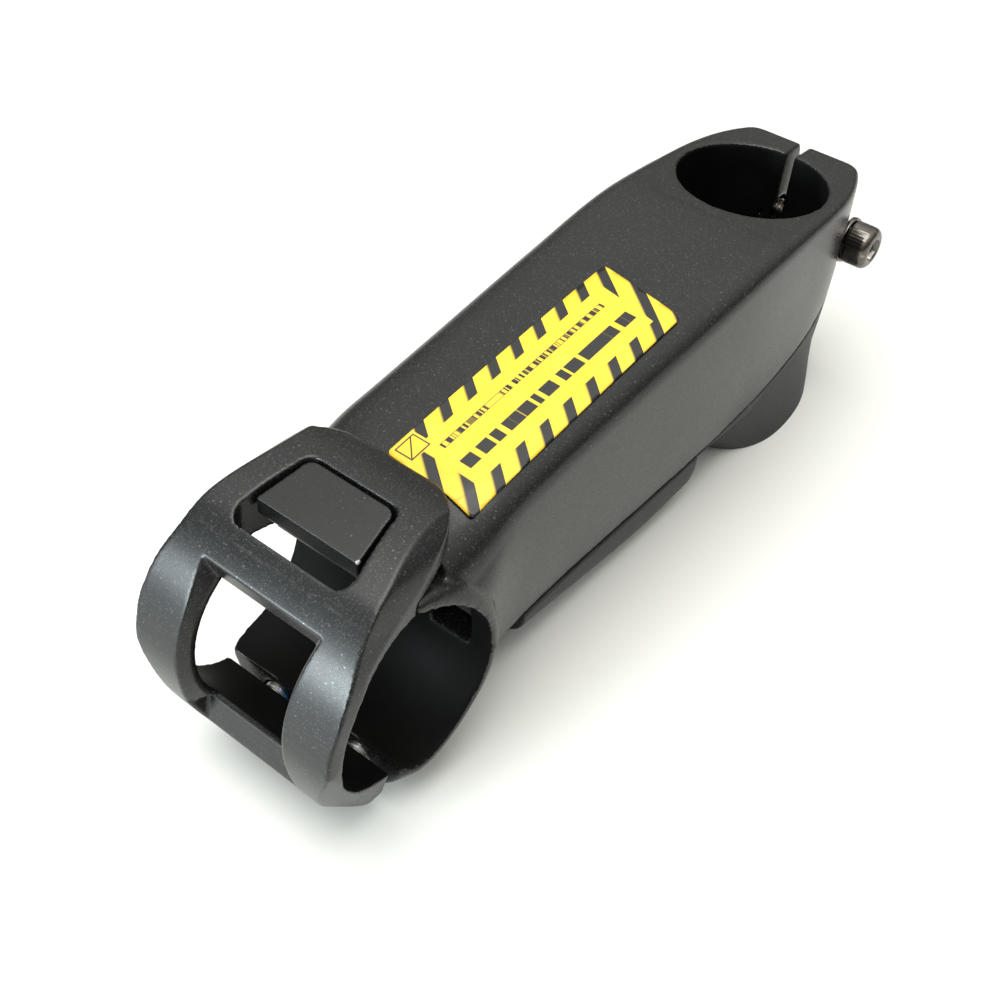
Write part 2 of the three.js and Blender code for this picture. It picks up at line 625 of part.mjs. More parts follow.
for (const { name, side, z, seat, out, long, nut } of steererBolts()) {
  const under = seat + out + WASHER.thick + GAP;
  const bolt = aimed([0, side, 0], [STEERER_BOLT.x, side * under, z]);
  addPiece(`steerer_bolt_${name}`, capScrew({ ...STEERER_BOLT, long, socket: 2.3 }), BOLT_BLACK, bolt);
  addWasher(`steerer_washer_${name}`, BOLT_BLACK, bolt);
  const insert = aimed([0, side, 0], [STEERER_BOLT.x, -side * nut[1], z]);
  addPiece(`steerer_insert_${name}`, ring(INSERT.inner, INSERT.outer, nut[1] - nut[0]), STEEL, insert);
}

for (const [name, side] of [['left', 1], ['right', -1]]) {
  const head = PLATE_BOLT.seat - WASHER.thick - GAP;
  const bolt = aimed([-1, 0, 0], [head, side * PLATE_BOLT.y, PLATE_BOLT.z]);
  const screw = capScrew({ ...PLATE_BOLT, long: PLATE_BOLT.tip - head, socket: 2.3 });
  addPiece(`faceplate_bolt_${name}`, screw, STEEL, bolt);
  addWasher(`faceplate_washer_${name}`, STEEL, bolt);
}

for (const at of coverScrews()) {
  const screw = aimed([0, 0, -1], [at.x, at.y, at.z - 1.6 - GAP]);
  addPiece(`cover_screw_${at.name}`, capScrew({ ...COVER_SCREW, long: 9, socket: 1.2 }), BOLT_BLACK, screw);
}

// Origin under the middle of the stem, on its lowest plane.
const extent = new THREE.Box3().setFromObject(assembly, true);
const centre = extent.getCenter(new THREE.Vector3());
assembly.position.set(-centre.x, 0, -extent.min.z);

export default stem;
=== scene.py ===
"""Looks of the handlebar stem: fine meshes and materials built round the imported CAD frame."""

import math

import bmesh
import bpy
from mathutils import Matrix, Vector


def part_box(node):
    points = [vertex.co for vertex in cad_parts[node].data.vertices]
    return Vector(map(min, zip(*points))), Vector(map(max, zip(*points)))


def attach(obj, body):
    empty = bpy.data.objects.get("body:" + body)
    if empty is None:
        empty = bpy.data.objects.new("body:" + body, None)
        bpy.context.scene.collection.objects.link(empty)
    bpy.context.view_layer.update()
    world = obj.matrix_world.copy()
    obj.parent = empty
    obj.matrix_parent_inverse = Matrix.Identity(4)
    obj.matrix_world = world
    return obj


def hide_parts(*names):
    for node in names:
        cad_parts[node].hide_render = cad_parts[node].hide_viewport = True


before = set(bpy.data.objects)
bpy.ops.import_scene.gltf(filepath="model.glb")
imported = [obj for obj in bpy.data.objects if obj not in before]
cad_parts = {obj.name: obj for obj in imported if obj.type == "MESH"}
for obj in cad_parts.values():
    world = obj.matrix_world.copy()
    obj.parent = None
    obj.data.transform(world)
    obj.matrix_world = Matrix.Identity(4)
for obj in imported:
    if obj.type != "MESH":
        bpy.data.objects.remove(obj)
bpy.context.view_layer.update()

# ---- design units ----------------------------------------------------------------------------
# Shapes are drawn in millimetres about the steerer axis, +X forward, +Y to the rider's left, +Z up,
# with the rear cover's underside just below zero. TO_FRAME carries them to the frame's metres.
MM = 0.001
TUBE_BACK = -22.4
COVER_LOW = -0.4
TO_FRAME = Matrix.Translation((
    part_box("stem_body")[0].x - TUBE_BACK * MM, 0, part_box("rear_cable_cover")[0].z - COVER_LOW * MM,
)) @ Matrix.Scale(MM, 4)

STEERER_R = 14.3            # bore that holds a 28.6 mm steerer
BAR_R = 15.9                # bore that holds a 31.8 mm bar
BAR_X, BAR_Z = 115, 14      # the bar's axis
BORE_SKIN = 0.15            # a face this close to a bore's wall belongs to the bore
CLAMP_TOP = 49.45           # flat ring round the steerer, and where it ends in front
FLAT_FRONT = 18
CLAMP_FOOT = 9.5
WALL = 3.8                  # tube's wall over the cable channel
GAP = 0.35                  # clearance between pieces that touch
ROOM = 0.65                 # clearance where a rounded mesh would eat the gap
SLIT = 1.8                  # pinch slot of the steerer clamp
LIP = 2.2                   # how far the body is set in behind the covers
WIDE = 60                   # longer than any cut across the stem
LAND_FRONT = 116            # front of the body's land under the bar
PLATE_BACK = 117.9          # rear face of the faceplate's foot, and its lowest height
PLATE_LOW = -9
TRAY_WALL = 1.8
COVER_SPLIT = 31            # where the rear cover ends and the front cover begins

SHANK_R = 2.5               # M5 bolts, their thread inserts and their washers
INSERT_R = 3.1
HEAD_R = 4.25
HEAD_LONG = 5
WASHER_IN, WASHER_OUT, WASHER_THICK = 2.8, 4.6, 1
M5_KEY, M5_PITCH = 2.0, 0.8
BOLT_X = -17.6              # steerer bolts
PLATE_BOLT_Y, PLATE_BOLT_Z, PLATE_BOLT_SEAT, PLATE_BOLT_TIP = 9, -6.1, 104.5, 124
SCREW_X = {"rear": 39, "front": 71}     # M3 cover screws
SCREW_SEAT = 0
SCREW_R, SCREW_HEAD_R, SCREW_HEAD_LONG, SCREW_LONG = 1.5, 2.8, 1.7, 9
SCREW_KEY, SCREW_PITCH = 1.0, 0.5
BOSS_R = 4                  # post round each cover screw
BOSS_SKIN = 1.6             # what a screw's head clamps

BODY_VOXEL, THIN_VOXEL, PAD_VOXEL = 0.42, 0.26, 0.16
FINE = 180                  # sides of a large bore


# ---- mesh tools ------------------------------------------------------------------------------
def mesh_object(name, points, faces):
    mesh = bpy.data.meshes.new(name)
    mesh.from_pydata([tuple(p) for p in points], [], faces)
    whole = bmesh.new()
    whole.from_mesh(mesh)
    bmesh.ops.remove_doubles(whole, verts=whole.verts, dist=1e-5)
    bmesh.ops.recalc_face_normals(whole, faces=whole.faces)
    whole.to_mesh(mesh)
    whole.free()
    made = bpy.data.objects.new(name, mesh)
    bpy.context.scene.collection.objects.link(made)
    return made


def loft(rings, name="loft"):
    """Closed skin over rings of equal length, each end closed by a fan about its middle."""
    count = len(rings[0])
    points = [p for one in rings for p in one]
    faces = []
    for i in range(len(rings) - 1):
        for j in range(count):
            a, b = i * count + j, i * count + (j + 1) % count
            faces.append((a, b, b + count, a + count))
    for start, one in ((0, rings[0]), ((len(rings) - 1) * count, rings[-1])):
        middle = len(points)
        points.append(sum((Vector(p) for p in one), Vector()) / count)
        faces += [(middle, start + j, start + (j + 1) % count) for j in range(count)]
    return mesh_object(name, points, faces)


def prism(plane, outline, low, high):
    """Straight solid of a plane outline. The plane is named by its two axes."""
    place = {
        "xy": lambda a, b, c: (a, b, c),
        "xz": lambda a, b, c: (a, c, b),
        "yz": lambda a, b, c: (c, a, b),
    }[plane]
    rings = [[place(a, b, c) for a, b in outline] for c in (low, high)]
    count = len(outline)
    faces = [(j, (j + 1) % count, count + (j + 1) % count, count + j) for j in range(count)]
    faces += [tuple(range(count)), tuple(range(count, 2 * count))]
    return mesh_object("prism", rings[0] + rings[1], faces)


def rod(axis, radius, low, high, middle, sides=96):
    plane = {"x": "yz", "y": "xz", "z": "xy"}[axis]
    turn = [2 * math.pi * i / sides for i in range(sides)]
    a, b = middle
    return prism(plane, [(a + radius * math.cos(t), b + radius * math.sin(t)) for t in turn], low, high)


def box(low, high):
    outline = [(low[0], low[1]), (high[0], low[1]), (high[0], high[1]), (low[0], high[1])]
    return prism("xy", outline, low[2], high[2])


def evaluated(piece):
    """Applies the modifiers of a piece to its mesh."""
    graph = bpy.context.evaluated_depsgraph_get()
    made = bpy.data.meshes.new_from_object(piece.evaluated_get(graph))
    piece.modifiers.clear()
    piece.data = made
    return piece


def combine(piece, other, operation):
    """Joins, cuts or intersects a piece with another solid, which is used up."""
    step = piece.modifiers.new(operation, "BOOLEAN")
    step.operation = operation
    step.solver = "MANIFOLD"
    step.object = other
    evaluated(piece)
    bpy.data.objects.remove(other)
    return piece


def cut(piece, other):
    return combine(piece, other, "DIFFERENCE")


def join(piece, other):
    return combine(piece, other, "UNION")


def within(piece, other):
    return combine(piece, other, "INTERSECT")


def copy_of(piece):
    made = piece.copy()
    made.data = piece.data.copy()
    bpy.context.scene.collection.objects.link(made)
    return made


def largest_part(piece):
    """Leaves the largest connected part of a piece: cuts that graze a face can leave specks."""
    whole = bmesh.new()
    whole.from_mesh(piece.data)
    left, parts = set(whole.verts), []
    while left:
        seed = left.pop()
        part, front = {seed}, [seed]
        while front:
            for edge in front.pop().link_edges:
                for vert in edge.verts:
                    if vert in left:
                        left.discard(vert)
                        part.add(vert)
                        front.append(vert)
        parts.append(part)
    keep = max(parts, key=len)
    bmesh.ops.delete(whole, geom=[v for v in whole.verts if v not in keep], context="VERTS")
    whole.to_mesh(piece.data)
    whole.free()
    return piece


def rounded(piece, voxel, passes, share=1.0):
    """Even fine mesh with every edge rounded by about one voxel."""
    grid = piece.modifiers.new("grid", "REMESH")
    grid.mode = "VOXEL"
    grid.voxel_size = voxel
    ease = piece.modifiers.new("ease", "SMOOTH")
    ease.factor = 0.5
    ease.iterations = passes
    if share < 1:
        thin = piece.modifiers.new("thin", "DECIMATE")
        thin.ratio = share
    return largest_part(evaluated(piece))


def finished(piece, name, body, slot, material, *nodes):
    """Puts a piece in the frame under its name and material, hangs it under its moving body and hides the CAD
    parts it stands for.
    """
    piece.name = name
    piece.data.name = name
    piece.data.transform(TO_FRAME)
    piece.data.materials.clear()
    piece.data.materials.append(material)
    piece.data.shade_smooth()
    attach(piece, body)
    if nodes:
        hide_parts(*nodes)
    return piece


def bored(piece, bore_shade):
    """Gives the bore walls their own near-black, weakly reflecting material: painted shade for the dark
    inside of the bores.
    """
    piece.data.materials.append(bore_shade)
    back = TO_FRAME.inverted()
    for face in piece.data.polygons:
        at = back @ face.center
        in_bar = math.hypot(at.x - BAR_X, at.z - BAR_Z) < BAR_R + BORE_SKIN
        in_steerer = math.hypot(at.x, at.y) < STEERER_R + BORE_SKIN
        face.material_index = int(in_bar or in_steerer)
    return piece


# ---- curves ----------------------------------------------------------------------------------
def row_at(rows, x):
    """Values at x of rows [x, ...values] joined by a smooth curve through every row."""
    if x <= rows[0][0]:
        return rows[0][1:]
    if x >= rows[-1][0]:
        return rows[-1][1:]
    i = max(k for k, row in enumerate(rows) if row[0] <= x)
    step = rows[i + 1][0] - rows[i][0]
    t = (x - rows[i][0]) / step

    def slope(k, c):
        a, b = rows[max(k - 1, 0)], rows[min(k + 1, len(rows) - 1)]
        return (b[c] - a[c]) / (b[0] - a[0]) * step

    blend = (2 * t**3 - 3 * t**2 + 1, t**3 - 2 * t**2 + t, 3 * t**2 - 2 * t**3, t**3 - t**2)
    here, there = rows[i], rows[i + 1]
    return [
        blend[0] * here[c] + blend[1] * slope(i, c) + blend[2] * there[c] + blend[3] * slope(i + 1, c)
        for c in range(1, len(here))
    ]


def spread(low, high, count):
    return [low + (high - low) * i / count for i in range(count + 1)]


def smoothed(points, count):
    """Catmull-Rom curve through plane points."""
    made = []
    last = len(points) - 1
    for i in range(count + 1):
        at = last * i / count
        k = min(int(at), last - 1)
        t = at - k
        p = [points[min(max(k + d, 0), last)] for d in (-1, 0, 1, 2)]
        made.append(tuple(
            0.5 * (2 * b + (c - a) * t + (2 * a - 5 * b + 4 * c - d) * t**2 + (3 * b - a - 3 * c + d) * t**3)
            for a, b, c, d in zip(*p)
        ))
    return made


def bezier(points, steps):
    """Points of a Bezier curve of any degree, without its first one."""
    made = []
    for i in range(1, steps + 1):
        level, t = [Vector(p) for p in points], i / steps
        while len(level) > 1:
            level = [a.lerp(b, t) for a, b in zip(level, level[1:])]
        made.append(tuple(level[0]))
    return made


def mirrored(rows):
    """An outline from its half."""
    return [*rows, *[(a, -b) for a, b in reversed(rows)]]


# ---- stem body -------------------------------------------------------------------------------
# x, top height, half-width at the shoulder, at the middle, at the foot, foot height, shoulder radius
TUBE = [
    [TUBE_BACK, 43.0, 7.5, 8.5, 7.5, 16.0, 3.0],
    [-20.9, 48.8, 10.6, 11.4, 10.4, 10.5, 1.6],
    [-18.0, 49.5, 13.2, 13.8, 12.8, CLAMP_FOOT, 1.2],
    [-8.0, 49.5, 16.6, 17.0, 15.8, CLAMP_FOOT, 1.4],
    [6.0, 49.5, 18.0, 18.2, 16.4, CLAMP_FOOT, 2.0],
    [24.0, 49.3, 18.8, 18.8, 16.4, 9.4, 3.2],
    [45.0, 46.7, 18.5, 18.5, 15.8, 7.6, 4.4],
    [70.0, 42.5, 17.9, 17.9, 15.0, 5.0, 5.0],
    [86.0, 39.6, 17.6, 17.8, 15.0, 2.8, 5.2],
    [93.0, 38.3, 17.6, 18.5, 15.6, 0.5, 5.6],
    [99.0, 37.1, 17.6, 20.0, 16.6, -3.5, 7.6],
    [106.0, 35.8, 17.6, 20.4, 16.8, -6.0, 8.8],
]
CROWN = 0.5                 # how much the top falls to its shoulders, ahead of the clamp
CROWN_FROM, CROWN_TO = 6, 45
TAIL_R, TAIL_TOP = 20.9, 15.5       # the inner tube's tail is round below this height
# angle round the bar, outer radius, half-width at the rim, width of the sloped flank
CRADLE = [
    [90, 17.6, 17.6, 1.2], [112, 18.6, 18.9, 1.2], [145, 18.8, 20.4, 1.2], [180, 18.9, 21.0, 1.8],
    [205, 20.2, 20.7, 4.5], [225, 22.0, 20.4, 7], [245, 23.3, 20.3, 8], [258, 24.0, 20.2, 8],
    [266, 24.1, 19.8, 7.8], [271, 24.1, 19.1, 7.4], [276, 24.1, 18.3, 7],
]
RIM = 1.3                   # wall of the cradle at its open ends
# line on the side where the covers begin: x, height
SEAM = [
    [-40, 27], [-30, 26.5], [-16, 25.5], [-9, 23.0], [0, 18.2], [8, 15.2], [18, 12.6], [31, 10.2],
    [46, 8.2], [62, 6.2], [78, 4.4], [90, 3.0],
]
PAD = {
    "back": 108.4, "front": 117.8, "narrow": 8.6, "wide": 9.9, "rear_top": 40.1, "front_top": 37.5,
    "lip": 2.8, "low": 30, "round": 2.2, "stalk": 114.4, "stalk_top": 36.5,
}
# line where the faceplate hooks over the tube, down to the bar: x, height
JOINT = [(98.6, 37.4), (103.5, 35.2), (108.5, 33.6), (113.6, 31.4), (114.6, BAR_Z)]
PAD_SKIN = 0.4              # how far the stalk is set in from the pad that covers it
PORT = {"inner": 8.5, "low": 12, "high": 23, "flare": ((90, 13), (96, 16), (104, 17.6))}
CHANNEL = (21.5, 94)        # where the cable channel starts and ends along the tube


def tube_ring(x, inset=0.0, foot=None, steps=12):
    top, shoulder, middle, low, base, radius = row_at(TUBE, x)
    a, m, c = shoulder - inset, middle - inset, low - inset
    high = top - inset
    t = min(max((x - CROWN_FROM) / (CROWN_TO - CROWN_FROM), 0), 1)
    crown = CROWN * t * t * (3 - 2 * t)
    floor = base if foot is None else foot
    corner = min(radius, a * 0.5)
    edge = high - crown
    half = [(0, high)]
    half += bezier([half[-1], (a * 0.6, high), (a - corner, edge)], steps)
    half += bezier([half[-1], (a, edge - corner * 0.15), (a + (m - a) * 0.25, edge - corner)], steps)
    flank = [(m, high * 0.7 + floor * 0.3), (m, high * 0.4 + floor * 0.6), (c, floor + 1.5)]
    half += bezier([half[-1], *flank], steps)
    half += bezier([half[-1], (c, floor), (c - 1.5, floor)], steps // 2)
    return [(x, -y, z) for y, z in half] + [(x, y, z) for y, z in reversed(half[1:])]


def tube(inset=0.0):
    return loft([tube_ring(x, inset) for x in tube_stations(TUBE_BACK)])


def tube_stations(back):
    """Stations along the tube, closer together round its tail."""
    return sorted({back, *spread(back, -8, 24), *spread(-8, TUBE[-1][0], 110)})


def inner_tube(inset):
    """The tube set in on every side, where a cover laps over it."""
    back = TUBE_BACK + 0.6 * inset
    below = 2 * (LIP - inset)
    whole = loft([tube_ring(x, inset, row_at(TUBE, x)[4] - below) for x in tube_stations(back)])
    room = LIP - inset
    tail = rod("z", TAIL_R + room, -WIDE, 2 * WIDE, (0, 0), FINE)
    tail = join(tail, box((0, -WIDE, -WIDE), (2 * WIDE, WIDE, 2 * WIDE)))
    tail = join(tail, box((-WIDE, -WIDE, TAIL_TOP - room), (WIDE, WIDE, 1.9 * WIDE)))
    return within(whole, tail)


def cradle():
    inside = BAR_R - 1
    rings = []
    for angle in range(90, 277, 2):
        outer, width, slope = row_at(CRADLE, angle)
        a = math.radians(angle)
        half = [(inside, width), (BAR_R + RIM, width)]
        half += bezier([(BAR_R + RIM, width), (outer, width - 0.55 * slope), (outer, width - slope)], 10)
        half += [(outer, 0)]
        ring = [(r, -y) for r, y in half] + [(r, y) for r, y in reversed(half[:-1])]
        rings.append([(BAR_X + r * math.cos(a), y, BAR_Z + r * math.sin(a)) for r, y in ring])
    return loft(rings)


def below_seam(gap):
    back, front = SEAM[0][0], SEAM[-1][0]
    edge = [(x, row_at(SEAM, x)[0] - gap) for x in spread(back, front, 130)]
    return prism("xz", [(back, -WIDE), *edge, (front, -WIDE)], -WIDE, WIDE)


def plate_side():
    """Everything on the faceplate's side of the joint, seen from the side."""
    above, ahead = 80, 200
    return prism("xz", [
        (JOINT[0][0], above), *JOINT, (LAND_FRONT, -1.5), (LAND_FRONT, -WIDE), (ahead, -WIDE), (ahead, above),
    ], -WIDE, WIDE)


def pad():
    back, front, narrow, wide = PAD["back"], PAD["front"], PAD["narrow"], PAD["wide"]
    low, round_by, stalk = PAD["low"], PAD["round"], PAD["stalk"]
    side = [(back, low), (front, low), (front, PAD["front_top"]), (back, PAD["rear_top"])]
    corner = bezier([(back + round_by, narrow), (back, narrow), (back, narrow - round_by)], 8)
    plan = mirrored([(front, wide), (back + round_by, narrow), *corner])
    made = within(prism("xz", side, -WIDE, WIDE), prism("xy", plan, -WIDE, 2 * WIDE))
    under_lip = PAD["front_top"] - PAD["lip"]
    under = [
        (stalk, low - 1), (front + 1, low - 1), (front + 1, under_lip), (front - 1, under_lip),
        (stalk, under_lip - 1.6),
    ]
    return cut(made, prism("xz", under, -WIDE, WIDE))


def pad_stalk():
    """The pad's lower part, which the finer pad piece sits on."""
    half = PAD["narrow"] - PAD_SKIN
    back, front = PAD["back"] + PAD_SKIN, PAD["front"] - PAD_SKIN
    return within(pad(), box((back, -half, 20), (front, half, PAD["stalk_top"])))


def bridge_pad(material):
    shell = rounded(pad(), PAD_VOXEL, 5)
    return finished(shell, "bridge_pad", "stem", "satin_black", material)


def channel():
    return loft([tube_ring(x, WALL, -WIDE / 2) for x in spread(*CHANNEL, 60)])


def cable_port(side):
    """Passage from the tube's channel into the bar bore, flaring outward."""
    inner, low, high = PORT["inner"], PORT["low"], PORT["high"]
    rings = []
    for x, outer in PORT["flare"]:
        corners = [(inner, low), (outer, low), (outer, high), (inner, high)]
        rings.append([(x, side * y, z) for y, z in corners])
    return loft(rings)


def screw_posts():
    roof = tube(0.5)
    posts = [rod("z", BOSS_R, SCREW_SEAT + 0.4, WIDE, (x, 0), 64) for x in SCREW_X.values()]
    return within(join(*posts), roof)


def stem_body(material, bore_shade):
    below = below_seam(0)
    upper = cut(tube(), copy_of(below))
    lower = within(within(tube(), below), inner_tube(LIP))
    body = join(join(upper, lower), cradle())
    body = cut(body, channel())
    body = join(body, screw_posts())
    body = cut(body, plate_side())
    body = join(body, pad_stalk())
    body = cut(body, rod("y", BAR_R, -WIDE, WIDE, (BAR_X, BAR_Z), FINE))
    body = cut(body, rod("z", STEERER_R, -WIDE, 2 * WIDE, (0, 0), FINE))
    body = cut(body, box((-WIDE, -SLIT / 2, -WIDE), (-1, SLIT / 2, 2 * WIDE)))
    for side in (-1, 1):
        at = (side * PLATE_BOLT_Y, PLATE_BOLT_Z)
        body = cut(body, cable_port(side))
        body = cut(body, rod("x", SHANK_R + GAP, 90, 130, at))
        body = cut(body, rod("x", WASHER_OUT + GAP, 80, PLATE_BOLT_SEAT + WASHER_THICK + GAP, at))
    body = cut(body, box((-WIDE, -WIDE, CLAMP_TOP), (FLAT_FRONT, WIDE, 2 * WIDE)))
    for bolt in STEERER_BOLTS:
        at, side = (BOLT_X, bolt["z"]), bolt["side"]
        near, far = bolt["insert"]
        body = cut(body, rod("y", SHANK_R + ROOM, *sorted((-side * (far + 2 * ROOM), side * 30)), at))
        body = cut(body, rod("y", INSERT_R + GAP, *sorted((-side * (near - GAP), -side * (far + GAP))), at))
        body = cut(body, rod("y", WASHER_OUT + ROOM, *sorted((side * (bolt["seat"] - GAP), side * 30)), at))
    for x in SCREW_X.values():
        body = cut(body, rod("z", SCREW_R + GAP, SCREW_SEAT - 5, SCREW_SEAT + SCREW_LONG, (x, 0), 48))
    body = rounded(body, BODY_VOXEL, 4, 0.4)
    finished(body, "body_shell", "stem", "satin_black", material, "stem_body")
    return bored(body, bore_shade)


# side that the head is on, its seat, how far it stands out, and the stretch of its thread insert
STEERER_BOLTS = [
    {"name": "upper", "side": 1, "z": 35.8, "seat": 9.5, "out": 4.6, "long": 22, "insert": (3.4, 10.8)},
    {"name": "lower", "side": -1, "z": 20.5, "seat": 6.2, "out": 0, "long": 15, "insert": (3.4, 8.4)},
]

# ---- faceplate -------------------------------------------------------------------------------
# outline seen from the side: x, height
PLATE_TOP = [
    (98.9, 38.6), (99.6, 39.6), (104, 40.5), (108.4, 40.2), (113.5, 39.2), (117.9, 37.7), (122.3, 35.4),
    (127.2, 30.2), (131, 24.2), (133.4, 18), (133.8, 12), (132.4, 5), (129.8, -0.6), (127.2, -4.8),
    (124.6, -7.8), (121.4, PLATE_LOW), (118.4, PLATE_LOW),
]
# outline seen from above: x, half-width
PLATE_PLAN = [
    (98.6, 5.5), (99.4, 9), (101.4, 12), (105, 15.2), (111, 17.2), (119, 18.3), (124.5, 19.2),
    (127.5, 19.9), (130.9, 20.2), (134.5, 19.8),
]
# outline seen from the front: height, half-width
PLATE_FRONT = [
    (-9.3, 14.4), (-8.7, 15.5), (-7.2, 16.4), (-5, 16.9), (-2, 17.6), (2, 18.4), (8, 19.5), (14, 20.1),
    (18, 20.2), (22, 20.1), (25.6, 19.8), (28, 19.4), (30.4, 18.7), (32, 18.2), (37, 16.7), (40.6, 13.4),
]
# lower corners, seen along the line that falls forward at 45 degrees: distance from the bar, half-width
PLATE_UNDER = [
    (6, 24.5), (10, 22), (13, 20.2), (15.5, 18.9), (17.8, 17.4), (19.6, 15.9), (21.1, 14.3), (22, 12.5),
    (22.6, 9.5), (23, 6),
]
WINDOW = {"half": 9.8, "high": 27.3, "low": 4, "radius": 17, "angles": (-38, 51.5)}
SLOPED_FRAME = {"half": 12, "radius": 21, "angles": (-52, 55.5)}
CROSSBAR = {"half": 11, "high": 3.8, "front": 128, "low": -3, "slope": 1}
TOP_WINDOW = {"front": 122.2, "wide": 11.2, "round": 2.6, "back_room": 0.7, "side_room": 0.6}


def top_window():
    back, narrow = PAD["back"] - TOP_WINDOW["back_room"], PAD["narrow"] + TOP_WINDOW["side_room"]
    front, wide, r = TOP_WINDOW["front"], TOP_WINDOW["wide"], TOP_WINDOW["round"]
    plan = [*bezier([(front, wide - r), (front, wide), (front - r, wide)], 8), (back + r, narrow)]
    plan += bezier([(back + r, narrow), (back, narrow), (back, narrow - r)], 8)
    return prism("xy", mirrored([(front, wide - r), *plan]), BAR_Z, 2 * WIDE)


def front_window():
    """A straight opening inside a sloped frame that follows the plate round the bar."""
    ahead, overlap = 140, 0.01

    def corner(frame_of, side, t):
        low, high = frame_of["angles"]
        a = math.radians(low + (high - low) * t)
        r = frame_of["radius"]
        return (BAR_X + r * math.cos(a), side * frame_of["half"], BAR_Z + r * math.sin(a))

    order = ((WINDOW, -1), (WINDOW, 1), (SLOPED_FRAME, 1), (SLOPED_FRAME, -1))
    made = loft([[corner(frame_of, side, t) for frame_of, side in order] for t in spread(0, 1, 48)])
    half = WINDOW["half"]
    made = join(made, box((BAR_X, -half, WINDOW["low"]), (ahead, half, WINDOW["high"])))
    high, front, low = CROSSBAR["high"], CROSSBAR["front"], CROSSBAR["low"]
    made = cut(made, box((BAR_X, -WIDE, -WIDE), (ahead, WIDE, high)))
    top = high + overlap
    recess = [(front, top), (front + CROSSBAR["slope"], low), (ahead, low), (ahead, top)]
    return join(made, prism("xz", recess, -CROSSBAR["half"], CROSSBAR["half"]))


def corner_trim():
    """The plate's lower corners, rounded off along the line that falls forward at 45 degrees."""
    made = prism("xy", mirrored([(-WIDE, PLATE_UNDER[0][1]), *smoothed(PLATE_UNDER, 70)]), -WIDE, WIDE)
    made.data.transform(Matrix.Translation((BAR_X, 0, BAR_Z)) @ Matrix.Rotation(math.pi / 4, 4, "Y"))
    return made


def faceplate(material, bore_shade):
    under = [
        (PLATE_BACK, PLATE_LOW), (PLATE_BACK, -2), (PLATE_BACK, BAR_Z),
        (JOINT[4][0] + GAP, BAR_Z), (JOINT[3][0] + GAP, JOINT[3][1] + GAP),
        *[(x, z + GAP) for x, z in reversed(JOINT[:3])],
    ]
    plate = prism("xz", [*smoothed(PLATE_TOP, 160), *under], -WIDE, WIDE)
    plate = within(plate, prism("xy", mirrored(smoothed(PLATE_PLAN, 100)), -WIDE, 2 * WIDE))
    front = [(b, a) for a, b in mirrored(smoothed(PLATE_FRONT, 100))]
    plate = within(plate, prism("yz", front, 0, 3 * WIDE))
    plate = within(plate, corner_trim())
    plate = cut(plate, rod("y", BAR_R, -WIDE, WIDE, (BAR_X, BAR_Z), FINE))
    plate = cut(plate, top_window())
    plate = cut(plate, front_window())
    for side in (-1, 1):
        at = (side * PLATE_BOLT_Y, PLATE_BOLT_Z)
        plate = cut(plate, rod("x", INSERT_R, 100, PLATE_BOLT_TIP + 1, at))
    plate = rounded(plate, THIN_VOXEL, 7, 0.75)
    finished(plate, "faceplate_shell", "faceplate", "plate_black", material, "faceplate")
    return bored(plate, bore_shade)


# ---- covers ----------------------------------------------------------------------------------
# rear cover, seen from above at each height: height, back, front, half-width
SKIRT = [
    [COVER_LOW, -19.6, 17.4, 18.6], [0, -20, 18, 19.2], [5, -22.2, 26, 18.2], [10, -22.4, 33, 17.4],
    [17, -22.4, 36, 16.8], [27, -22.2, 40, 16.6],
]
# front cover: x, floor height, half-width at the floor
TRAY = [
    [COVER_SPLIT + GAP / 2, -2.2, 11.4], [44, -3.7, 12], [60, -4.1, 11.8], [74, -3.9, 11.4], [82, -3.5, 11.2],
]
COVER_STEPS = 16
HOLLOW_R, HOLLOW_LOW = 16.6, 2.4                        # round hollow inside the rear cover
PASSAGE = {"back": 15, "half": 11, "low": 2.6}          # opening from that hollow into the front cover


def skirt_ring(z):
    back, front, wide = row_at(SKIRT, z)
    half = [(front, 0), *bezier([(front, 0), (front, wide * 0.55), (front * 0.72, wide), (0, wide)], 24)]
    half += bezier([(0, wide), (back * 0.72, wide), (back, wide * 0.62), (back, 0)], 24)
    return [(x, y, z) for x, y in half] + [(x, -y, z) for x, y in reversed(half[1:-1])]


def rear_cover(material):
    outer = loft([skirt_ring(z) for z in [COVER_LOW, -0.2, *spread(0, 27, 40)]])
    body = within(tube(), box((-30, -30, 5), (COVER_SPLIT, 30, WIDE)))
    cover = within(join(outer, body), below_seam(GAP))
    cover = within(cover, box((-40, -WIDE, -20), (COVER_SPLIT - GAP / 2, WIDE, WIDE)))
    cover = cut(cover, inner_tube(LIP - GAP))
    cover = cut(cover, rod("z", HOLLOW_R, HOLLOW_LOW, WIDE, (0, 0), 160))
    cover = cut(cover, rod("z", STEERER_R + 0.4, -WIDE, WIDE, (0, 0), 160))
    half = PASSAGE["half"]
    cover = cut(cover, box((PASSAGE["back"], -half, PASSAGE["low"]), (WIDE, half, WIDE)))
    notch = WASHER_OUT + 2 * GAP
    lower, inside = STEERER_BOLTS[1]["z"], -5
    cover = cut(cover, rod("y", notch, -WIDE, inside, (BOLT_X, lower)))
    cover = cut(cover, box((BOLT_X - notch, -WIDE, lower), (BOLT_X + notch, inside, WIDE)))
    cover = rounded(cover, THIN_VOXEL, 4, 0.8)
    return finished(cover, "rear_cover_shell", "rear_cover", "cover_black", material, "rear_cable_cover")


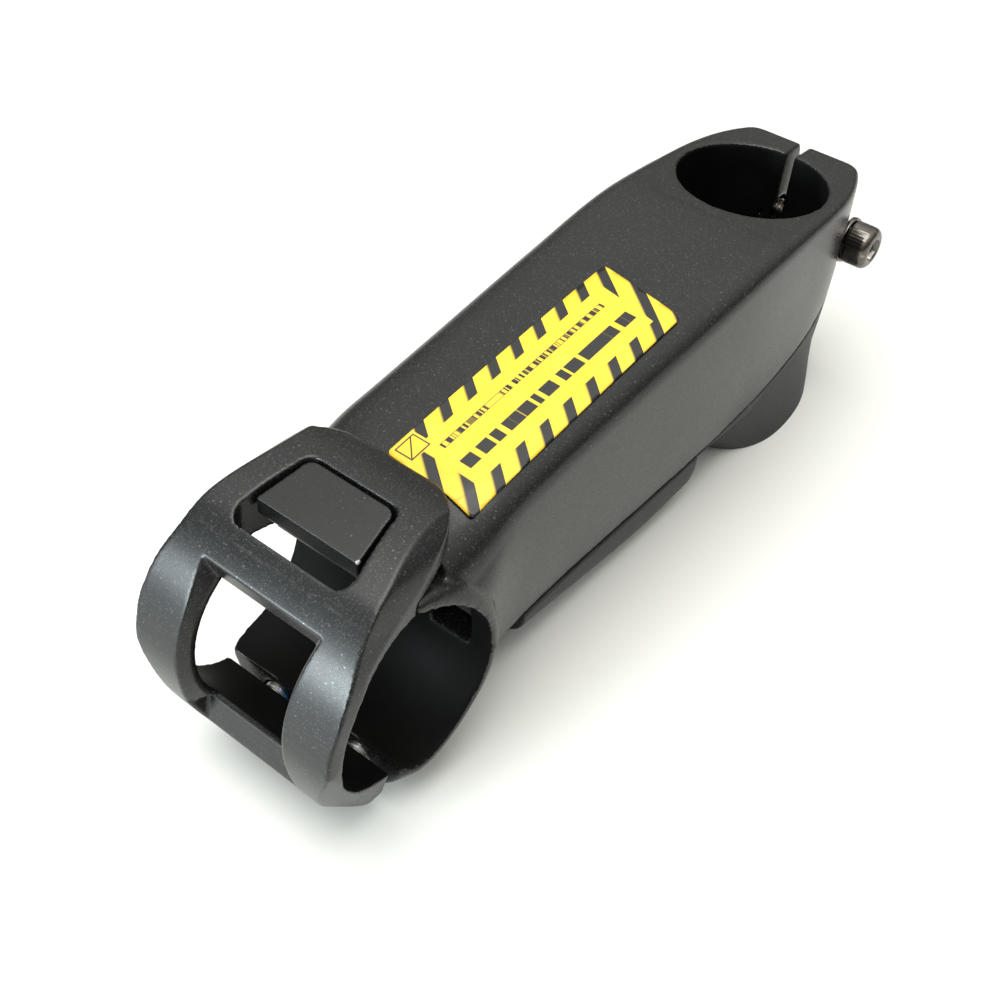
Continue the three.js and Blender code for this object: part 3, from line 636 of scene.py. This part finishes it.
def tray_ring(x, inset, top):
    floor, low = row_at(TRAY, x)
    edge = row_at(SEAM, x)[0] - GAP if top is None else top
    wide = row_at(TUBE, x)[3] + 0.1 - inset
    base, foot = floor + inset, low - inset
    half = [(0, edge), (wide, edge)]
    half += bezier([half[-1], (wide, base + 3), (foot, base + 0.9)], COVER_STEPS)
    half += bezier([half[-1], (foot - 1.4, base), (foot - 4, base)], COVER_STEPS)
    half += [(0, base)]
    return [(x, -y, z) for y, z in half] + [(x, y, z) for y, z in reversed(half[1:-1])]


def front_cover(material):
    back, front = TRAY[0][0], TRAY[-1][0]
    tray = loft([tray_ring(x, 0, None) for x in spread(back, front, 60)])
    tray = cut(tray, loft([tray_ring(x, TRAY_WALL, 40) for x in spread(back - 1, front + 1, 60)]))
    tray = cut(tray, prism("xz", [(79.4, -20), (83, 20), (100, 20), (100, -20)], -WIDE, WIDE))
    for x in SCREW_X.values():
        floor = row_at(TRAY, x)[0]
        tray = join(tray, rod("z", BOSS_R, floor + 0.5, SCREW_SEAT, (x, 0)))
        tray = cut(tray, rod("z", SCREW_R + GAP, -20, 20, (x, 0), 64))
        tray = cut(tray, rod("z", SCREW_HEAD_R + GAP, -20, SCREW_SEAT - BOSS_SKIN, (x, 0)))
    tray = rounded(tray, THIN_VOXEL, 4, 0.8)
    return finished(tray, "front_cover_shell", "front_cover", "cover_black", material, "front_cable_cover")


# ---- fasteners -------------------------------------------------------------------------------
TURN_STEPS = 120
CENTRE = 0.01               # radius that closes a turned solid's ends


def turned(profile):
    """Closed turned solid about +Z from (radius, height, style) steps. Style is a function of the angle."""
    rings = []
    for radius, height, style in profile:
        ring = []
        for k in range(TURN_STEPS):
            angle = 2 * math.pi * k / TURN_STEPS
            r = radius * style(angle, height) if style else radius
            ring.append((r * math.cos(angle), r * math.sin(angle), height))
        rings.append(ring)
    return loft(rings, "turned")


def hexagon(angle, height):
    """Radius of a hexagon of unit apothem."""
    sixth = math.pi / 3
    return 1 / math.cos((angle + sixth / 2) % sixth - sixth / 2)


def knurl(angle, height):
    """Grooves along a screw's head."""
    return 1 - 0.022 * (0.5 + 0.5 * math.cos(40 * angle)) ** 2


def thread(radius, pitch, depth):
    """Right-hand thread, as a style for a turned solid."""
    def style(angle, height):
        turn = (height / pitch - angle / (2 * math.pi)) % 1
        return 1 - depth * abs(2 * turn - 1) ** 1.3 / radius
    return style


def cap_screw(shank, head, head_long, long, key, pitch, knurled):
    """Cap screw along +Z: threaded shank below zero, head above it with a hexagon socket."""
    side = knurl if knurled else None
    deep, plain = 0.55 * pitch, 1.2
    groove = thread(shank, pitch, deep)
    heights = spread(-long, -plain, int((long - plain) / pitch * 10))
    profile = [(CENTRE, -long, None), (shank - deep - 0.1, -long, None)]
    profile += [(shank * min(1, 0.86 + 0.14 * i / 8), z, groove) for i, z in enumerate(heights)]
    profile += [(shank - 0.2, -0.9, None), (shank, -0.4, None), (shank + 0.25, 0, None)]
    profile += [(head - 0.35, 0, None), (head - 0.1, 0.08, None)]
    profile += [(head, 0.3, side), (head, 0.6, side), (head, head_long * 0.66, side)]
    brow = (0.34 if knurled else 0.2) * head
    for i in range(1, 8):
        a = math.pi / 2 * i / 7
        profile.append((head - brow * (1 - math.cos(a)), head_long - brow + brow * math.sin(a), None))
    profile += [(key * 1.22, head_long, None), (key * 1.16, head_long - 0.02, None)]
    profile += [(key * 1.02, head_long - 0.25, hexagon), (key, head_long - 0.3, hexagon)]
    profile += [(key, head_long * 0.42, hexagon), (key * 0.97, head_long * 0.4, hexagon)]
    profile += [(CENTRE, head_long * 0.3, None)]
    return turned(profile)


def washer():
    flat, edge, corner, inner, outer = WASHER_THICK, 0.14, 0.04, WASHER_IN, WASHER_OUT
    return swept([
        (inner, edge), (inner + edge, 0), (outer - edge, 0), (outer - corner, corner), (outer, edge),
        (outer, flat - edge), (outer - corner, flat - corner), (outer - edge, flat), (inner + edge, flat),
        (inner, flat - edge),
    ])


def swept(section, steps=120):
    """Ring of a closed section (radius, height) about +Z."""
    count = len(section)
    points = []
    for k in range(steps):
        a = 2 * math.pi * k / steps
        points += [(r * math.cos(a), r * math.sin(a), z) for r, z in section]
    faces = []
    for k in range(steps):
        for j in range(count):
            here, there = k * count, (k + 1) % steps * count
            faces.append((here + j, here + (j + 1) % count, there + (j + 1) % count, there + j))
    return mesh_object("swept", points, faces)


def wire_insert(long):
    """Wire thread insert along +Z from zero: a flattened wire wound at the thread's pitch."""
    pitch, wire, inner, outer = M5_PITCH, 0.36, 2.77, 3.08
    turns = (long - 2 * wire) / pitch
    steps = int(turns * 48)
    middle = (inner + outer) / 2
    rings = []
    for i in range(steps + 1):
        a = 2 * math.pi * turns * i / steps
        z = wire + pitch * turns * i / steps
        out = Vector((math.cos(a), math.sin(a), 0))
        ring = []
        for k in range(8):
            b = 2 * math.pi * k / 8
            point = out * (middle + (outer - inner) / 2 * math.cos(b))
            ring.append((point.x, point.y, z + wire * math.sin(b)))
        rings.append(ring)
    return loft(rings, "wire")


def laid(piece, direction, position):
    """Turns a piece that was made along +Z to look along a direction, and puts it in place."""
    turn = Vector((0, 0, 1)).rotation_difference(Vector(direction)).to_matrix().to_4x4()
    piece.data.transform(Matrix.Translation(position) @ turn)
    return piece


def fasteners(bolt_black, steel):
    for bolt in STEERER_BOLTS:
        name, side = bolt["name"], bolt["side"]
        base = side * (bolt["seat"] + bolt["out"])
        seat = base + side * (WASHER_THICK + GAP)
        screw = cap_screw(SHANK_R, HEAD_R, HEAD_LONG, bolt["long"], M5_KEY, M5_PITCH, True)
        laid(screw, (0, side, 0), (BOLT_X, seat, bolt["z"]))
        finished(screw, f"clamp_bolt_{name}", f"{name}_bolt", "bolt_black", bolt_black,
                 f"steerer_bolt_{name}")
        ring = laid(washer(), (0, side, 0), (BOLT_X, base + side * GAP / 2, bolt["z"]))
        finished(ring, f"clamp_washer_{name}", f"{name}_washer", "bolt_black", bolt_black,
                 f"steerer_washer_{name}")
        near, far = bolt["insert"]
        coil = laid(wire_insert(far - near), (0, side, 0), (BOLT_X, -side * far, bolt["z"]))
        finished(coil, f"thread_insert_{name}", "stem", "steel", steel, f"steerer_insert_{name}")
    for name, side in (("left", 1), ("right", -1)):
        seat = PLATE_BOLT_SEAT - WASHER_THICK - GAP
        at = (side * PLATE_BOLT_Y, PLATE_BOLT_Z)
        screw = cap_screw(SHANK_R, HEAD_R, HEAD_LONG, PLATE_BOLT_TIP - seat, M5_KEY, M5_PITCH, True)
        finished(laid(screw, (-1, 0, 0), (seat, *at)), f"plate_bolt_{name}", f"{name}_bolt", "steel", steel,
                 f"faceplate_bolt_{name}")
        ring = laid(washer(), (-1, 0, 0), (PLATE_BOLT_SEAT - GAP / 2, *at))
        finished(ring, f"plate_washer_{name}", f"{name}_washer", "steel", steel,
                 f"faceplate_washer_{name}")
    for name, x in SCREW_X.items():
        screw = cap_screw(SCREW_R, SCREW_HEAD_R, SCREW_HEAD_LONG, SCREW_LONG, SCREW_KEY, SCREW_PITCH, False)
        laid(screw, (0, 0, -1), (x, 0, SCREW_SEAT - BOSS_SKIN - GAP))
        finished(screw, f"tray_screw_{name}", f"{name}_screw", "bolt_black", bolt_black,
                 f"cover_screw_{name}")


# ---- label -----------------------------------------------------------------------------------
LABEL = {
    "back": 43.3, "front": 97.6, "right": -3.2, "left": 14.4, "skew": 0.16, "lift": 0.3, "thick": 0.25,
}


def label(material):
    """Film that follows the tube's top, with small rounded corners."""
    stations = spread(LABEL["back"] - 2, LABEL["front"] + 1, 70)
    lift, thick = LABEL["lift"], LABEL["thick"]
    film = cut(
        loft([tube_ring(x, -lift - thick, steps=20) for x in stations]),
        loft([tube_ring(x, -lift, steps=20) for x in [stations[0] - 1, *stations, stations[-1] + 1]]),
    )
    slip = (LABEL["left"] - LABEL["right"]) * LABEL["skew"]
    corners = [(LABEL["back"], LABEL["right"]), (LABEL["front"], LABEL["right"]),
               (LABEL["front"] + slip / 3, LABEL["left"]), (LABEL["back"] + slip, LABEL["left"])]
    outline = []
    for i, point in enumerate(corners):
        here = Vector(point)
        before = (Vector(corners[i - 1]) - here).normalized()
        after = (Vector(corners[(i + 1) % 4]) - here).normalized()
        outline += [tuple(here + before), *bezier([here + before, here, here + after], 6)]
    film = within(film, prism("xy", outline, 30, WIDE))
    return finished(film, "label_film", "stem", "label_film", material, "label")


# ---- materials -------------------------------------------------------------------------------
class Shader:
    """A material's node tree, with short names for what the finishes share."""

    def __init__(self, name):
        self.material = bpy.data.materials.new(name)
        self.material.use_nodes = True
        self.tree = self.material.node_tree
        self.surface = self.tree.nodes["Principled BSDF"]
        self.place = self.node("ShaderNodeTexCoord").outputs["Object"]

    def node(self, kind, inputs=None, **settings):
        made = self.tree.nodes.new(kind)
        for key, value in settings.items():
            setattr(made, key, value)
        for key, value in (inputs or {}).items():
            self.put(made.inputs[key], value)
        return made

    def put(self, socket, value):
        if isinstance(value, bpy.types.NodeSocket):
            self.tree.links.new(value, socket)
        else:
            socket.default_value = value

    def math(self, operation, *values):
        made = self.node("ShaderNodeMath", operation=operation)
        for socket, value in zip(made.inputs, values):
            self.put(socket, value)
        return made.outputs[0]

    def noise(self, scale, detail=3.0, roughness=0.55, place=None):
        made = self.node("ShaderNodeTexNoise", {
            "Vector": place or self.place, "Scale": scale, "Detail": detail, "Roughness": roughness,
        })
        return made.outputs["Fac"]

    def ramp(self, value, low, high, start=0.0, end=1.0):
        made = self.node("ShaderNodeMapRange", {
            "Value": value, "From Min": low, "From Max": high, "To Min": start, "To Max": end,
        }, clamp=True)
        return made.outputs["Result"]

    def mix(self, share, a, b):
        made = self.node("ShaderNodeMix", data_type="RGBA")
        for socket, value in ((made.inputs[0], share), (made.inputs[6], a), (made.inputs[7], b)):
            self.put(socket, value)
        return made.outputs[2]

    def bump(self, height, strength, distance, normal=None):
        inputs = {"Height": height, "Strength": strength, "Distance": distance}
        if normal is not None:
            inputs["Normal"] = normal
        return self.node("ShaderNodeBump", inputs).outputs["Normal"]

    def edges(self, low, high):
        """Share of wear on convex edges."""
        point = self.node("ShaderNodeNewGeometry").outputs["Pointiness"]
        return self.ramp(point, low, high)

    def finish(self, color, roughness, metallic, normal=None):
        self.put(self.surface.inputs["Base Color"], color)
        self.put(self.surface.inputs["Roughness"], roughness)
        self.put(self.surface.inputs["Metallic"], metallic)
        if normal is not None:
            self.put(self.surface.inputs["Normal"], normal)
        return self.material


def at_point(shader, point):
    """Distance in metres from a point of the design."""
    made = shader.node("ShaderNodeVectorMath", operation="DISTANCE")
    shader.put(made.inputs[0], shader.place)
    made.inputs[1].default_value = TO_FRAME @ Vector(point)
    return made.outputs["Value"]


def flecks(shader, scale, share):
    """Metal flakes in the paint: a few cells of a fine grid shine."""
    cells = shader.node("ShaderNodeTexVoronoi", {"Vector": shader.place, "Scale": scale})
    chosen = shader.node("ShaderNodeSeparateColor", {"Color": cells.outputs["Color"]})
    core = shader.ramp(cells.outputs["Distance"], 0.15, 0.5, 1.0, 0.0)
    lucky = shader.ramp(chosen.outputs["Red"], 1 - share, 1 - share / 3)
    return shader.math("MULTIPLY", core, lucky)


def paint(name, color, fleck_share, rough, chip=None):
    """Satin paint with a fine metal fleck, dust and thin edges."""
    s = Shader(name)
    cloud = s.noise(60, 4)
    grain = s.noise(5200, 2)
    fine = flecks(s, 4600, fleck_share)
    coarse = flecks(s, 2600, fleck_share * 0.15)
    fleck = s.math("MAXIMUM", s.math("MULTIPLY", fine, 0.7), coarse)
    dark = tuple(0.7 * c for c in color)
    tone = s.mix(s.ramp(cloud, 0.3, 0.7), (*dark, 1), (*color, 1))
    tone = s.mix(s.ramp(grain, 0.35, 0.75, 0.0, 0.35), tone, (*(2.2 * c for c in color), 1))
    wear = s.math("MULTIPLY", s.edges(0.57, 0.68), s.ramp(s.noise(900, 3), 0.4, 0.65))
    tone = s.mix(s.math("MULTIPLY", wear, 0.25), tone, (0.06, 0.06, 0.06, 1))
    tone = s.mix(s.math("MULTIPLY", fleck, 0.52), tone, (0.22, 0.225, 0.225, 1))
    if chip is not None:
        edge = s.math("ADD", at_point(s, chip), s.ramp(s.noise(1800), 0.3, 0.7, -0.0002, 0.0002))
        spot = s.ramp(edge, 0.00028, 0.00036, 1.0, 0.0)
        tone = s.mix(spot, tone, (0.32, 0.31, 0.29, 1))
    uneven = s.ramp(cloud, 0.3, 0.7, rough - 0.03, rough + 0.03)
    roughness = s.math("ADD", uneven, s.ramp(grain, 0.3, 0.7, -0.04, 0.05))
    metallic = s.math("MULTIPLY", fleck, 0.7)
    s.surface.inputs["Specular IOR Level"].default_value = 0.38
    normal = s.bump(grain, 0.2, 0.00004)
    normal = s.bump(s.noise(420, 2), 0.06, 0.0001, normal)
    return s.finish(tone, roughness, metallic, normal)


def bore_painted_shade():
    """Bore walls: near-black and weakly reflecting, a painted shade for the dark inside of the bores, with
    fine rings left by the boring tool.
    """
    s = Shader("bore_shade_black")
    smudge = s.noise(120, 4)
    rings = s.noise(3800, 2)
    # painted shade: this near-black tone and the low specular below stand in for the shade inside the bores
    tone = s.mix(s.ramp(smudge, 0.3, 0.7), (0.002, 0.002, 0.002, 1), (0.0042, 0.0042, 0.004, 1))
    roughness = s.ramp(smudge, 0.3, 0.7, 0.52, 0.64)
    s.surface.inputs["Specular IOR Level"].default_value = 0.06
    return s.finish(tone, roughness, 0.0, s.bump(rings, 0.15, 0.00004))


def moulded_plastic(name, color):
    """Moulded black plastic: fine spark texture, faint flow marks and rubbed edges."""
    s = Shader(name)
    spark = s.noise(2600, 3, 0.7)
    streaks = {"Vector": s.place, "Scale": 90.0, "Detail": 3.0, "Distortion": 1.4}
    flow = s.node("ShaderNodeTexNoise", streaks).outputs["Fac"]
    tone = s.mix(s.ramp(flow, 0.35, 0.65), (*(0.8 * c for c in color), 1), (*color, 1))
    wear = s.math("MULTIPLY", s.edges(0.53, 0.6), s.ramp(s.noise(700), 0.4, 0.6))
    tone = s.mix(s.math("MULTIPLY", wear, 0.4), tone, (0.12, 0.12, 0.125, 1))
    roughness = s.ramp(spark, 0.3, 0.7, 0.46, 0.6)
    normal = s.bump(spark, 0.3, 0.00006)
    return s.finish(tone, roughness, 0.0, normal)


def turned_metal(name, color, rough, worn, lock_blue=False):
    """Machined steel: fine turning marks, tarnish and bright worn edges."""
    s = Shader(name)
    tarnish = s.noise(500, 4)
    marks = s.noise(7000, 2)
    tone = s.mix(s.ramp(tarnish, 0.3, 0.7), (*(0.65 * c for c in color), 1), (*color, 1))
    tone = s.mix(s.math("MULTIPLY", s.edges(0.52, 0.64), 0.6), tone, (*worn, 1))
    metallic = s.ramp(tarnish, 0.2, 0.8, 0.95, 1.0)
    if lock_blue:
        depth = s.node("ShaderNodeSeparateXYZ", {"Vector": s.place}).outputs
        start = TO_FRAME @ Vector((LAND_FRONT - 0.8, 0.3 - PLATE_BOLT_Y, 0))
        band = s.math("MULTIPLY", s.ramp(depth["X"], start.x, start.x + 0.0003),
                      s.ramp(depth["Y"], start.y, start.y + 0.0004))
        patch = s.math("MULTIPLY", band, s.ramp(s.noise(700, 3), 0.4, 0.48))
        left = (TO_FRAME @ Vector((0, PLATE_BOLT_Y, 0))).y
        patch = s.math("MULTIPLY", patch, s.ramp(depth["Y"], left - 0.006, left - 0.004, 1.0, 0.0))
        tone = s.mix(patch, tone, (0.03, 0.16, 0.42, 1))
        metallic = s.math("SUBTRACT", metallic, s.math("MULTIPLY", patch, 0.9))
    turning = s.ramp(marks, 0.3, 0.7, rough - 0.06, rough + 0.08)
    roughness = s.math("ADD", turning, s.ramp(tarnish, 0.3, 0.7, 0, 0.06))
    normal = s.bump(marks, 0.12, 0.00003)
    return s.finish(tone, roughness, metallic, normal)


def striped_film():
    """Yellow film framed by slanted black stripes, with plain ticks where lines of print would be."""
    s = Shader("label_film")
    split = s.node("ShaderNodeSeparateXYZ", {"Vector": s.place}).outputs
    start = TO_FRAME @ Vector((LABEL["back"], LABEL["right"], 0))
    along = s.math("MULTIPLY", s.math("SUBTRACT", split["X"], start.x), 1 / MM)
    across = s.math("MULTIPLY", s.math("SUBTRACT", split["Y"], start.y), 1 / MM)
    width = LABEL["left"] - LABEL["right"]
    length = LABEL["front"] - LABEL["back"]
    slip = width * LABEL["skew"]

    def under(value, limit):
        return s.ramp(value, limit - 0.05, limit + 0.05, 1.0, 0.0)

    def over(value, limit):
        return s.ramp(value, limit - 0.05, limit + 0.05)

    def both(*shares):
        made = shares[0]
        for share in shares[1:]:
            made = s.math("MULTIPLY", made, share)
        return made

    def either(*shares):
        made = shares[0]
        for share in shares[1:]:
            made = s.math("MAXIMUM", made, share)
        return made

    def band(value, low, high):
        return both(over(value, low), under(value, high))

    def ticks(scale, row, share):
        """Short strokes of uneven length along the film, different in each row."""
        line = s.node("ShaderNodeCombineXYZ", {"X": split["X"], "Y": row}).outputs["Vector"]
        return s.ramp(s.noise(scale, 1, 0.5, line), share - 0.015, share + 0.015)

    pitch, duty, deep = 5.75, 0.4, 2.9
    phase = s.math("FRACT", s.math("DIVIDE", s.math("ADD", along, s.math("MULTIPLY", across, -0.75)), pitch))
    rear = s.math("SUBTRACT", along, s.math("MULTIPLY", across, slip / width))
    rim = either(under(across, deep), over(across, width - deep), under(rear, 4.2), over(along, length - 3.4))
    stripes = both(under(phase, duty), rim)
    bold = both(band(across, 9.8, 12.1), band(along, 7.5, 49.5), ticks(520, 0.4, 0.44), ticks(95, 0.1, 0.36))
    thin = both(band(across, 5.3, 6.5), band(along, 8.5, 48.5), ticks(1150, 0.9, 0.49), ticks(110, 0.6, 0.36))
    lines = either(band(across, 5.3, 5.42), band(across, 6.4, 6.5))
    rule = both(lines, band(along, 8.5, 48.5), ticks(140, 0.2, 0.45))
    tag_place = both(over(along, length - 5.6), under(across, 4.4))
    tag = both(band(along, length - 5.2, length - 1.0), band(across, 0.6, 4.2))
    hollow = both(band(along, length - 4.95, length - 1.25), band(across, 0.85, 3.95))
    off_slash = s.math("SUBTRACT", s.math("SUBTRACT", along, length - 5.2), across)
    slash = under(s.math("ABSOLUTE", off_slash), 0.16)
    tag = either(both(tag, s.math("SUBTRACT", 1.0, hollow)), both(tag, slash))
    ink = either(both(stripes, s.math("SUBTRACT", 1.0, tag_place)), bold, thin, rule, tag)
    fade = s.noise(240, 3)
    yellow = s.mix(s.ramp(fade, 0.3, 0.7), (0.71, 0.475, 0.02, 1), (0.79, 0.54, 0.032, 1))
    scuff = s.ramp(s.noise(1500, 4), 0.66, 0.72, 0.0, 0.3)
    yellow = s.mix(scuff, yellow, (0.55, 0.45, 0.08, 1))
    tone = s.mix(ink, yellow, (0.008, 0.008, 0.0075, 1))
    roughness = s.ramp(fade, 0.3, 0.7, 0.38, 0.48)
    normal = s.bump(s.noise(900, 2), 0.05, 0.00005)
    normal = s.bump(ink, 0.12, 0.00002, normal)
    return s.finish(tone, roughness, 0.0, normal)


# ---- surroundings ----------------------------------------------------------------------------
# The stem rests on the rear cover's front edge and on the lowest fasteners, so the floor falls forward.
REAR_REST = Vector((17.4, 0, COVER_LOW))
FRONT_REST = Vector((PLATE_BOLT_SEAT, 0, PLATE_BOLT_Z - WASHER_OUT))


def floor():
    rear, front = TO_FRAME @ REAR_REST, TO_FRAME @ FRONT_REST
    fall = math.atan2(rear.z - front.z, front.x - rear.x)
    half, below = 1.6, 0.00005
    points = [(-half, -half, 0), (half, -half, 0), (half, half, 0), (-half, half, 0)]
    made = mesh_object("floor", points, [(0, 1, 2, 3)])
    lowered = Matrix.Translation(front - Vector((0, 0, below)))
    made.matrix_world = lowered @ Matrix.Rotation(fall, 4, "Y")
    s = Shader("pale_table")
    tone = s.mix(s.noise(12, 3), (0.66, 0.67, 0.64, 1), (0.7, 0.7, 0.67, 1))
    made.data.materials.append(s.finish(tone, 0.5, 0.0))


def softbox(name, position, target, size, power, color):
    light = bpy.data.lights.new(name, "AREA")
    light.shape = "RECTANGLE"
    light.size, light.size_y = size
    light.energy = power
    light.color = color
    made = bpy.data.objects.new(name, light)
    bpy.context.scene.collection.objects.link(made)
    position, target = Vector(position), Vector(target)
    turn = (target - position).to_track_quat("-Z", "Y").to_matrix().to_4x4()
    made.matrix_world = Matrix.Translation(position) @ turn


def studio():
    """Room that is dim at the horizon and bright overhead."""
    world = bpy.data.worlds.new("studio")
    bpy.context.scene.world = world
    world.use_nodes = True
    nodes, links = world.node_tree.nodes, world.node_tree.links
    direction = nodes.new("ShaderNodeTexCoord").outputs["Generated"]
    split = nodes.new("ShaderNodeSeparateXYZ")
    links.new(direction, split.inputs["Vector"])
    height = nodes.new("ShaderNodeMapRange")
    links.new(split.outputs["Z"], height.inputs["Value"])
    for key, value in (("From Min", 0.3), ("From Max", 1.0), ("To Min", 0.22), ("To Max", 1.75)):
        height.inputs[key].default_value = value
    background = nodes["Background"]
    background.inputs["Color"].default_value = (1.0, 1.0, 0.96, 1)
    links.new(height.outputs["Result"], background.inputs["Strength"])


def surroundings():
    floor()
    studio()
    softbox("overhead", (0.25, -0.05, 1.1), (0, 0, 0), (0.9, 0.9), 12, (1, 0.99, 0.96))
    softbox("front_window", (0.74, -0.26, 0.15), (0.05, 0, 0.02), (0.36, 0.14), 6, (0.84, 0.95, 1))
    bpy.context.scene.view_settings.view_transform = "Standard"


def camera():
    """Camera at the photograph's place: its axes in the frame, and its focal length."""
    lens = bpy.data.cameras.new("camera")
    lens.sensor_width = 36
    lens.lens = 49.85
    lens.clip_start = 0.005
    made = bpy.data.objects.new("camera", lens)
    bpy.context.scene.collection.objects.link(made)
    right = Vector((-0.62306, 0.77738, 0.08651))
    ahead = Vector((-0.62536, -0.42865, -0.65206))
    up = right.cross(ahead)
    turn = Matrix((right, up, -ahead)).transposed().to_4x4()
    made.matrix_world = Matrix.Translation(TO_FRAME @ Vector((220.015, 102.152, 169.203))) @ turn
    bpy.context.scene.camera = made


# ---- the stem --------------------------------------------------------------------------------
camera()
surroundings()
chipped_corner = (PAD["front"] - 0.2, PAD["wide"] - 0.2, PAD["front_top"] - 0.1)
# the bores get painted shade: a near-black, weakly reflecting finish in place of the paint
bore = bore_painted_shade()
stem_body(paint("satin_black", (0.0075, 0.0075, 0.007), 0.3, 0.28), bore)
bridge_pad(paint("pad_black", (0.006, 0.006, 0.006), 0.03, 0.3, chipped_corner))
faceplate(paint("plate_black", (0.0065, 0.007, 0.007), 0.36, 0.3), bore)
cover_plastic = moulded_plastic("cover_black", (0.011, 0.011, 0.012))
rear_cover(cover_plastic)
front_cover(cover_plastic)
fasteners(
    turned_metal("bolt_black", (0.16, 0.145, 0.13), 0.15, (0.34, 0.32, 0.29)),
    turned_metal("steel", (0.6, 0.6, 0.57), 0.28, (0.8, 0.8, 0.78), True),
)
label(striped_film())
